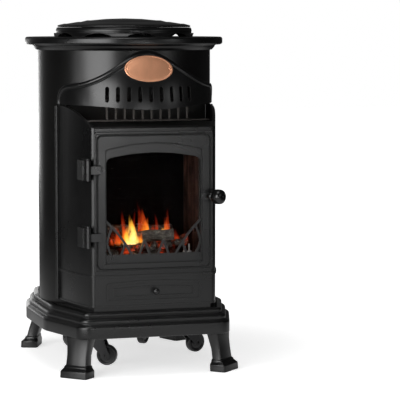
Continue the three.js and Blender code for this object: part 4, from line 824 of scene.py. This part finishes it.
def fascia_part():
    """The upper fascia: columns of angle and rows that run from its foot, along the slots' two end lines,
    to its crest. The cells inside the slots are left out. A half-round bead with a groove under it follows
    the edge."""
    foot_cells, slot_cells, head_cells = 6, 8, 40
    across = SLOT_HALF_WIDTH * np.sin(np.radians(np.linspace(-90, 90, 9)))
    across_angle = np.degrees(across / SLOT_LINE_R)
    slot_edge = across_angle[-1]
    centres = SLOT_PITCH * np.arange(-SLOTS_EACH_SIDE, SLOTS_EACH_SIDE + 1)
    in_slots = (centres[:, None] + across_angle).ravel()
    between = (centres[:-1, None] + np.linspace(slot_edge, SLOT_PITCH - slot_edge, 6)[1:-1]).ravel()
    shoulder = np.linspace(centres[-1] + slot_edge, CREST_TURN, 22)[1:]
    end = CREST_TURN + (FASCIA_END - CREST_TURN) * np.sin(np.linspace(0, np.pi / 2, 15))[1:]
    angles = np.sort(np.concatenate([in_slots, between, shoulder, -shoulder, end, -end]))

    off_slot = np.radians(from_slot(angles)) * SLOT_LINE_R
    end_round = np.sqrt(np.maximum(0, SLOT_HALF_WIDTH ** 2 - off_slot ** 2))
    slot_half = SLOT_HALF_HEIGHT - SLOT_HALF_WIDTH + end_round
    low, crest = fascia_low_z(angles), crest_z(angles)
    line_low = np.minimum(SLOT_Z - slot_half, low + 0.3 * (crest - low))
    line_high = np.minimum(SLOT_Z + slot_half, low + 0.62 * (crest - low))
    closer = 1 - (1 - np.linspace(0, 1, head_cells + 1)[:, None]) ** 1.4
    heights = np.concatenate([np.linspace(low, line_low, foot_cells + 1)[:-1],
                              np.linspace(line_low, line_high, slot_cells + 1)[:-1],
                              line_high + (crest - line_high) * closer])
    angle = np.repeat(angles[None], len(heights), axis=0)
    edge = from_edge(angle, heights)
    bead = np.sqrt(np.clip(1 - ((edge - BEAD_HALF) / BEAD_HALF) ** 2, 0, 1))
    groove = np.exp(-((edge - 2 * BEAD_HALF - 1.4) / 1.3) ** 2)
    outer = fascia_points(angle, heights, BEAD_RISE * bead - GROOVE_DEPTH * groove)
    inner = fascia_points(angle, heights, -FASCIA_WALL)
    kept = np.ones((len(heights) - 1, len(angles) - 1), bool)
    in_slot = from_slot((angles[:-1] + angles[1:]) / 2) < slot_edge
    kept[foot_cells:foot_cells + slot_cells, in_slot] = False
    return walled(outer, inner, kept)


def badge_part():
    """The bare oval plate: rings of an ellipse laid on the fascia, with a raised rim, a fine line inside it
    and two round-headed pins, each a bump of the form of the root of a cosine, in a shallow dish."""
    share = np.concatenate([np.linspace(0, 0.8, 25), np.linspace(0.81, 1.0, 24)])[:, None]
    turn = np.linspace(0, 2 * np.pi, 180, endpoint=False)
    x = BADGE_HALF[0] * share * np.cos(turn)
    z = BADGE_Z + BADGE_HALF[1] * share * np.sin(turn)
    angle = np.degrees(np.arcsin(x / BADGE_R))
    rim = np.sqrt(np.clip(1 - ((share - 0.955) / 0.045) ** 2, 0, 1))
    line = np.exp(-((share - 0.86) / 0.008) ** 2)
    to_pin = np.hypot(np.abs(x) - BADGE_PIN_X, z - BADGE_Z)
    pin = np.cos(np.clip(to_pin / BADGE_PIN_R, 0, 1) * np.pi / 2) ** 0.5
    dish = np.where((to_pin > BADGE_PIN_R) & (to_pin < BADGE_PIN_R + 1.4), 0.5, 0)
    outer = fascia_points(angle, z, 1.6 + 0.9 * rim + 0.3 * line + 0.9 * pin - dish)
    inner = fascia_points(angle, z, 0.5)
    return walled(outer, inner, np.ones((len(share) - 1, len(turn)), bool), wrap=True)


def panel_knob_part():
    """The small round knob of the lower panel, turned about a line that runs straight out of it."""
    ball = softened([
        (0, 0), (4, 0), (3.4, 4), (5.5, 6.5), (7.2, 10.5), (6.6, 14.5), (3.5, 17.2), (0, 18)], 2.4)
    return spun(ball, (PANEL_KNOB_X, FRONT_Y - 0.3, PANEL_KNOB_Z), (0, -1, 0), 48)


def latch_knob_part():
    """The door's knob, turned about its stem, which leans out to the right."""
    grip = softened([
        (0, 3), (5, 3), (5, 11), (8.5, 12), (9, 15), (7, 17.5), (10, 20), (14.4, 23), (16, 27.5), (16, 38),
        (14.2, 42.5), (9.5, 45.5), (0, 46.5)], 2.6)
    return spun(grip, (LATCH_X + 1.5, DOOR_FRONT_Y - 7.6, LATCH_Z), (26, -38, 0), 64)


def wheel_part(joint):
    """A castor wheel turned about its own axle: a round tread, a recessed side and a domed hub."""
    side = [(0, -9.6), (6.5, -9.2), (8, -6.2), (15.5, -5.2), (17.5, -7.6), (21.2, -8), (23, -5.6)]
    outline = softened(side + [(r, -a) for r, a in reversed(side)], 1.6, 3)
    origin = np.array(joint["pos_m"]) / MM - (0, AXIS_Y, 0)
    return spun(outline, origin, joint["axis"], 72)


def coals_part(count):
    """Loose lumps on the fuel bed: each is a ball whose radius varies as sines of its two angles, flattened
    a little, and the lumps lie on a sunflower spiral drawn out into an oval, with a seeded jitter."""
    draw = np.random.default_rng(7)
    number = np.arange(count)
    spiral = SPIRAL_STEP * number
    oval = np.stack([np.cos(spiral), np.sin(spiral), np.abs(np.cos(spiral))], -1) * BED_HALF
    jitter = np.stack([draw.uniform(-most, most, count) for most in (4, 3, 3)], -1)
    places = BED_MIDDLE + oval * np.sqrt((number + 0.5) / count)[:, None] + jitter
    size = draw.uniform(7.0, 12.0, count)
    first, second, third = draw.uniform(0, 2 * np.pi, (count, 3)).T[:, :, None, None]
    up, around = np.linspace(0, np.pi, 9)[:, None], np.linspace(0, 2 * np.pi, 14, endpoint=False)
    wave = 1 + 0.14 * np.sin(3 * around + first) * np.sin(up) + 0.16 * np.sin(2 * up + second)
    wave = wave + 0.1 * np.sin(5 * around + 2 * up + third) * np.sin(up)
    radius = size[:, None, None] * wave
    ball = np.broadcast_arrays(np.sin(up) * np.cos(around), np.sin(up) * np.sin(around), 0.8 * np.cos(up))
    return like_grids(places[:, None, None] + radius[..., None] * np.stack(ball, -1))


def flames_part(tallest):
    """Flame tongues: each is a closed body of revolution whose radius swells low and thins to a point, and
    whose axis sways as a sine of its height, more so towards its tip. Heat is highest in the yellow core at
    the left. Returns the tongues, and their rise and heat as layers."""
    tongues = np.array([
        # x, y, foot, height share, half-width, sway, phase, heat
        (-38, -213, 282, 0.74, 11, 7, 1.4, 1.0), (-46, -211, 280, 0.5, 11, -7, 0.2, 0.9),
        (-30, -212, 280, 0.48, 10, 7, 2.5, 0.92), (-54, -208, 280, 0.56, 8, -8, 4.4, 0.6),
        (-66, -204, 276, 0.62, 8, -8, 5.3, 0.42), (-78, -200, 276, 0.42, 8, 6, 0.9, 0.36),
        (-50, -196, 282, 0.86, 7, 8, 2.2, 0.36), (-20, -212, 282, 0.34, 9, 5, 4.1, 0.66),
        (2, -166, 292, 0.74, 8, -7, 5.1, 0.56), (10, -164, 292, 0.5, 8, 6, 3.3, 0.7),
        (-8, -164, 290, 0.94, 7, 9, 1.1, 0.34), (20, -164, 292, 0.36, 7, -6, 2.7, 0.45),
        (36, -192, 306, 0.1, 6, 2, 0.4, 1.0), (52, -166, 290, 0.52, 7, -5, 4.9, 0.6),
        (57, -166, 290, 0.74, 6, 6, 3.0, 0.4), (70, -186, 276, 0.4, 8, 5, 1.8, 0.3),
        (-40, -216, 280, 0.22, 14, 4, 3.1, 1.0), (90, -180, 270, 0.36, 8, 4, 5.6, 0.3),
        (-24, -166, 292, 0.7, 6, -6, 1.9, 0.3), (28, -166, 292, 0.6, 5, 7, 0.7, 0.28),
    ])
    x, y, foot, height, width, sway, phase, heat = tongues.T[:, :, None, None]
    share = np.linspace(0.0, 1.0, 26)[:, None]
    turn = np.linspace(0.0, 2 * np.pi, 14, endpoint=False)
    radius = width * np.sin(np.pi * share ** 0.56) ** 0.9 * (1 - 0.45 * share)
    radius[:, [0, -1]] = 0.0
    drift = sway * share ** 1.4 * np.sin(phase + 3.6 * share)
    depth = 0.4 * sway * share ** 1.5 * np.cos(phase * 1.7 + 2.6 * share)
    ripple = 1 + 0.22 * np.sin(3 * turn + phase + 5 * share)
    x, y, z, rise, heat = np.broadcast_arrays(
        x + drift + radius * np.cos(turn) * ripple, y + depth + 0.6 * radius * np.sin(turn),
        foot + height * tallest * share, share, heat)
    return like_grids(np.stack([x, y, z], -1)), {"rise": rise, "flame_heat": heat}


class STOVE_OT_looks(bpy.types.Operator):
    """Builds every material of the heater"""
    bl_idname = "stove.looks"
    bl_label = "Build Finishes"

    def execute(self, context):
        make_looks()
        return {"FINISHED"}


class STOVE_OT_top(bpy.types.Operator):
    """Builds the top casting, the arched ring and the stepped lid"""
    bl_idname = "stove.top"
    bl_label = "Build Top and Lid"

    def execute(self, context):
        stands_for("top_plate", top_plate_part(), "turned")
        stands_for("top_ring", top_ring_part(), "turned")
        stands_for("top_lid", lid_part(), "turned")
        for node in ("lid_hinge_bracket_left", "lid_hinge_bracket_right"):
            refined(node, "iron")
        return {"FINISHED"}


class STOVE_OT_base(bpy.types.Operator):
    """Builds the moulded plinth and dresses the four legs"""
    bl_idname = "stove.base"
    bl_label = "Build Plinth and Legs"

    def execute(self, context):
        stands_for("base_plinth", plinth_part(), "plinth")
        for corner in CORNERS:
            refined("leg_" + corner, "plinth", 24.0, soften=2.0)
        return {"FINISHED"}


class STOVE_OT_front(bpy.types.Operator):
    """Builds the fascia and knobs, and dresses the front casting, the door frame and its hinge brackets"""
    bl_idname = "stove.front"
    bl_label = "Build Front"

    def execute(self, context):
        stands_for("upper_fascia", fascia_part(), "iron", 50.0)
        for node in ("lower_front_casting", "door_frame", "door_hinge_bracket_upper",
                     "door_hinge_bracket_lower"):
            refined(node, "iron")
        stands_for("panel_knob", panel_knob_part(), "knob", 80.0)
        stands_for("latch_knob", latch_knob_part(), "knob", 80.0)
        return {"FINISHED"}


class STOVE_OT_sheets(bpy.types.Operator):
    """Builds the drum and dresses the rear cover, its hinges and catch, and the base and inner plates"""
    bl_idname = "stove.sheets"
    bl_label = "Build Drum and Sheet Pieces"

    def execute(self, context):
        stands_for("outer_casing", drum_part(), "sheet")
        refined("rear_cover", "sheet", arc=(REAR_COVER_HALF_ANGLE, REAR_COVER_FACETS))
        for node in ("base_plate", "control_plate", "rear_hinge_bracket_lower", "rear_hinge_bracket_upper"):
            refined(node, "sheet")
        refined("rear_catch_knob", "plastic")
        for node in ("divider_plate", "burner_tray", "firebox_liner", "glass_retainer"):
            repaint(node, "inner_sheet")
        repaint("outlet_guard", "bars")
        return {"FINISHED"}


class STOVE_OT_running_gear(bpy.types.Operator):
    """Builds the castor wheels and dresses their forks, the hinge pins and the latch spindle"""
    bl_idname = "stove.running_gear"
    bl_label = "Build Castors and Pins"

    def execute(self, context):
        axles = {joint["name"]: joint for joint in frame["joints"]}
        for corner in CORNERS:
            wheel = wheel_part(axles["wheel_roll_" + corner])
            stands_for("castor_wheel_" + corner, wheel, "wheel", 60.0)
            refined("castor_fork_" + corner, "blacked")
        for node in ("door_hinge_pin_upper", "door_hinge_pin_lower", "rear_hinge_pin_lower",
                     "rear_hinge_pin_upper", "lid_hinge_pin_left", "lid_hinge_pin_right", "latch_spindle"):
            refined(node, "blacked", 50.0)
        return {"FINISHED"}


class STOVE_OT_gas_fittings(bpy.types.Operator):
    """Dresses the valve, pipes, burner, knob and ignition button"""
    bl_idname = "stove.gas_fittings"
    bl_label = "Dress Gas Fittings"

    def execute(self, context):
        for node in ("gas_valve", "burner_gas_pipe", "gas_inlet_pipe"):
            refined(node, "brass", 62.0)
        for node in ("burner", "pilot_assembly"):
            refined(node, "zinc")
        refined("gas_control_knob", "plastic")
        refined("igniter_body", "plastic", 35.0)
        refined("igniter_button", "button", 35.0)
        return {"FINISHED"}


class STOVE_OT_trim(bpy.types.Operator):
    """Builds the badge plate and dresses the door glass"""
    bl_idname = "stove.trim"
    bl_label = "Build Badge, Dress Glass"

    def execute(self, context):
        stands_for("badge_plate", badge_part(), "copper", 60.0)
        repaint("door_glass", "glass")
        return {"FINISHED"}


class STOVE_OT_fire(bpy.types.Operator):
    """Builds the flames and coals, and dresses the logs, the ember bed and the firebox panels"""
    bl_idname = "stove.fire"
    bl_label = "Build Fire"

    def execute(self, context):
        fire = context.scene.stove_fire
        for node in ("firebox_side_panel_left", "firebox_side_panel_right"):
            repaint(node, "fluted")
        repaint("firebox_back_panel", "sooted")
        refined("ember_bed", "coal", 60.0)
        for node in ("ceramic_log_rear", "ceramic_log_front"):
            refined(node, "log", 60.0)
        new_piece("loose_coals", coals_part(fire.coal_count), "coal", "root", 60.0)
        flames, layers = flames_part(fire.flame_height / MM)
        new_piece("flames", flames, "flame", "root", 180.0, layers)
        return {"FINISHED"}


class STOVE_OT_stage(bpy.types.Operator):
    """Builds the floor, the background, the lamps and the camera"""
    bl_idname = "stove.stage"
    bl_label = "Build Studio"

    def execute(self, context):
        build_floor()
        build_world()
        build_lamps()
        build_camera()
        return {"FINISHED"}


def seen_rays(tree):
    """1 for camera and transmission rays, which see the white background; and 1 for glossy rays."""
    path = add_node(tree, "LightPath")
    straight = maths(tree, "MAXIMUM", path.outputs["Is Camera Ray"], path.outputs["Is Transmission Ray"])
    return straight, path.outputs["Is Glossy Ray"]


def facing_level(tree, direction, azimuth, level):
    """A level that a direction has round one azimuth in degrees from the front, fading at the sides."""
    turn = math.radians(azimuth)
    toward = vector_maths(tree, "DOT_PRODUCT", direction, (math.sin(turn), -math.cos(turn), 0))
    return maths(tree, "MULTIPLY", smooth_step(tree, toward, 0.6, 0.98), level)


def build_floor():
    """A wide pale floor: white glow for the rays that see the background, full beyond the heater's
    surroundings and weaker near it, where the lamps' light makes up the rest and the shadow stays. In
    reflections it is dim, and brighter near the heater and in front of it."""
    corners = [(x * FLOOR_HALF, y * FLOOR_HALF, 0) for x, y in ((-1, -1), (1, -1), (1, 1), (-1, 1))]
    mesh = bpy.data.meshes.new("studio_floor")
    mesh.from_pydata(corners, [], [(0, 1, 2, 3)])
    material, tree, shader = fresh_material("pale_floor")
    place = object_place(tree)
    distance = vector_maths(tree, "LENGTH", place)
    direction = vector_maths(tree, "NORMALIZE", place, result="Vector")
    glow = maths(tree, "MULTIPLY_ADD", smooth_step(tree, distance, 0.3, 1.1), 0.4, 0.65)
    near = opposite(tree, smooth_step(tree, distance, 1.0, 1.9))
    front = facing_level(tree, direction, 10, 0.3)
    dim = maths(tree, "ADD", maths(tree, "MULTIPLY_ADD", near, 0.45, 0.005), front)
    straight, glossy = seen_rays(tree)
    seen, mirrored = maths(tree, "MULTIPLY", glow, straight), maths(tree, "MULTIPLY", dim, glossy)
    level = maths(tree, "MAXIMUM", seen, mirrored)
    fill(tree, shader, Roughness=0.9, Specular_IOR_Level=0.1, Emission_Strength=1.0,
         Base_Color=mixed(tree, glossy, (0.8, 0.8, 0.8), (0.05, 0.05, 0.05)),
         Emission_Color=mixed(tree, level, (0, 0, 0), (1, 1, 1)))
    mesh.materials.append(material)
    in_scene("studio_floor", mesh)


def build_world():
    """A world that is white to the camera and through glass, and dim otherwise, as in a dark studio."""
    world = bpy.data.worlds.new("studio_world")
    bpy.context.scene.world = world
    world.use_nodes = True
    tree = world.node_tree
    tree.nodes.clear()
    behind = facing_level(tree, add_node(tree, "TexCoord").outputs["Generated"], -165, 0.1)
    straight, glossy = seen_rays(tree)
    dim = maths(tree, "MULTIPLY_ADD", glossy, -0.18, 0.2)
    unseen = maths(tree, "ADD", maths(tree, "MULTIPLY", glossy, behind), dim)
    strength = maths(tree, "MAXIMUM", straight, unseen)
    light = add_node(tree, "Background", Color=(1, 1, 1, 1), Strength=strength)
    add_node(tree, "OutputWorld", Surface=light.outputs[0])


def aimed(item, place, target):
    """Puts a lamp or camera at a place in metres, turned to a target."""
    item.location = place
    item.rotation_euler = (Vector(target) - Vector(place)).to_track_quat("-Z", "Y").to_euler()


def new_lamp(name, kind, power):
    """A lamp that the camera doesn't see."""
    data = bpy.data.lights.new(name, kind)
    data.energy = power
    lamp = in_scene(name, data)
    lamp.visible_camera = False
    return lamp, data


def build_lamps():
    """Soft lamps: a large key at the left, smaller ones low at the left, in front and behind, a fill at the
    right and one above; and two small warm lamps in the firebox for the glow of the fire."""
    for name, azimuth, distance, height, size, power in (
            ("key_lamp", -48, 3.2, 1.0, (2.2, 2.0), 84.0),
            ("leg_lamp", -76, 3.0, 0.3, (0.5, 0.25), 3.6),
            ("rear_lamp", -162, 3.2, 0.5, (0.8, 1.0), 1.6),
            ("front_lamp", 5, 2.5, 0.36, (0.8, 0.16), 4.2),
            ("right_lamp", 41, 3.4, 1.1, (0.8, 0.8), 5.0),
            ("back_lamp", 178, 3.4, 0.42, (1.6, 0.5), 9.0),
            ("top_lamp", -30, 0.9, 2.8, (1.4, 1.4), 18.0)):
        turn = math.radians(azimuth)
        lamp, data = new_lamp(name, "AREA", power)
        data.shape = "RECTANGLE"
        data.size, data.size_y = size
        place = (distance * math.sin(turn), -distance * math.cos(turn), height)
        aimed(lamp, place, (0, 0, min(0.4, height)))
    for name, place, power in (
            ("fire_glow", (-30, -190, 310), 0.08),
            ("outlet_glow", (-45, -165, 530), 0.02)):
        lamp, data = new_lamp(name, "POINT", power)
        data.shadow_soft_size = 0.02
        data.color = (1.0, 0.32, 0.08)
        lamp.location = (Vector(place) + Vector((0, AXIS_Y, 0))) * MM
        lamp.visible_transmission = lamp.visible_glossy = False


def build_camera():
    """The photograph's view: from the front left, about level with the lid, with a long lens."""
    data = bpy.data.cameras.new("photo_camera")
    data.sensor_width = 36.0
    data.lens = CAMERA_LENS
    data.clip_end = 60.0
    camera = in_scene("photo_camera", data)
    aimed(camera, CAMERA_PLACE, CAMERA_AIM)
    bpy.context.scene.camera = camera
    bpy.context.scene.view_settings.view_transform = "Standard"


class STOVE_PT_panel(bpy.types.Panel):
    """The heater's sizes, colours and build steps"""
    bl_idname = "STOVE_PT_panel"
    bl_label = "Stove Heater"
    bl_space_type = "VIEW_3D"
    bl_region_type = "UI"
    bl_category = "Stove Heater"

    def draw(self, context):
        layout = self.layout
        for settings in (context.scene.stove_paint, context.scene.stove_fire):
            box = layout.box()
            for name in settings.__annotations__:
                box.prop(settings, name)
        for operator in OPERATORS:
            layout.operator(operator.bl_idname)


OPERATORS = (STOVE_OT_looks, STOVE_OT_top, STOVE_OT_base, STOVE_OT_front, STOVE_OT_sheets,
             STOVE_OT_running_gear, STOVE_OT_gas_fittings, STOVE_OT_trim, STOVE_OT_fire, STOVE_OT_stage)
CLASSES = (StovePaint, StoveFire, *OPERATORS, STOVE_PT_panel)


def register():
    for item in CLASSES:
        bpy.utils.register_class(item)
    bpy.types.Scene.stove_paint = bpy.props.PointerProperty(type=StovePaint)
    bpy.types.Scene.stove_fire = bpy.props.PointerProperty(type=StoveFire)


def unregister():
    del bpy.types.Scene.stove_fire
    del bpy.types.Scene.stove_paint
    for item in reversed(CLASSES):
        bpy.utils.unregister_class(item)


def main():
    """Registers the add-on and builds every piece in order."""
    register()
    bpy.ops.stove.looks()
    bpy.ops.stove.top()
    bpy.ops.stove.base()
    bpy.ops.stove.front()
    bpy.ops.stove.sheets()
    bpy.ops.stove.running_gear()
    bpy.ops.stove.gas_fittings()
    bpy.ops.stove.trim()
    bpy.ops.stove.fire()
    bpy.ops.stove.stage()


if __name__ == "__main__":
    main()
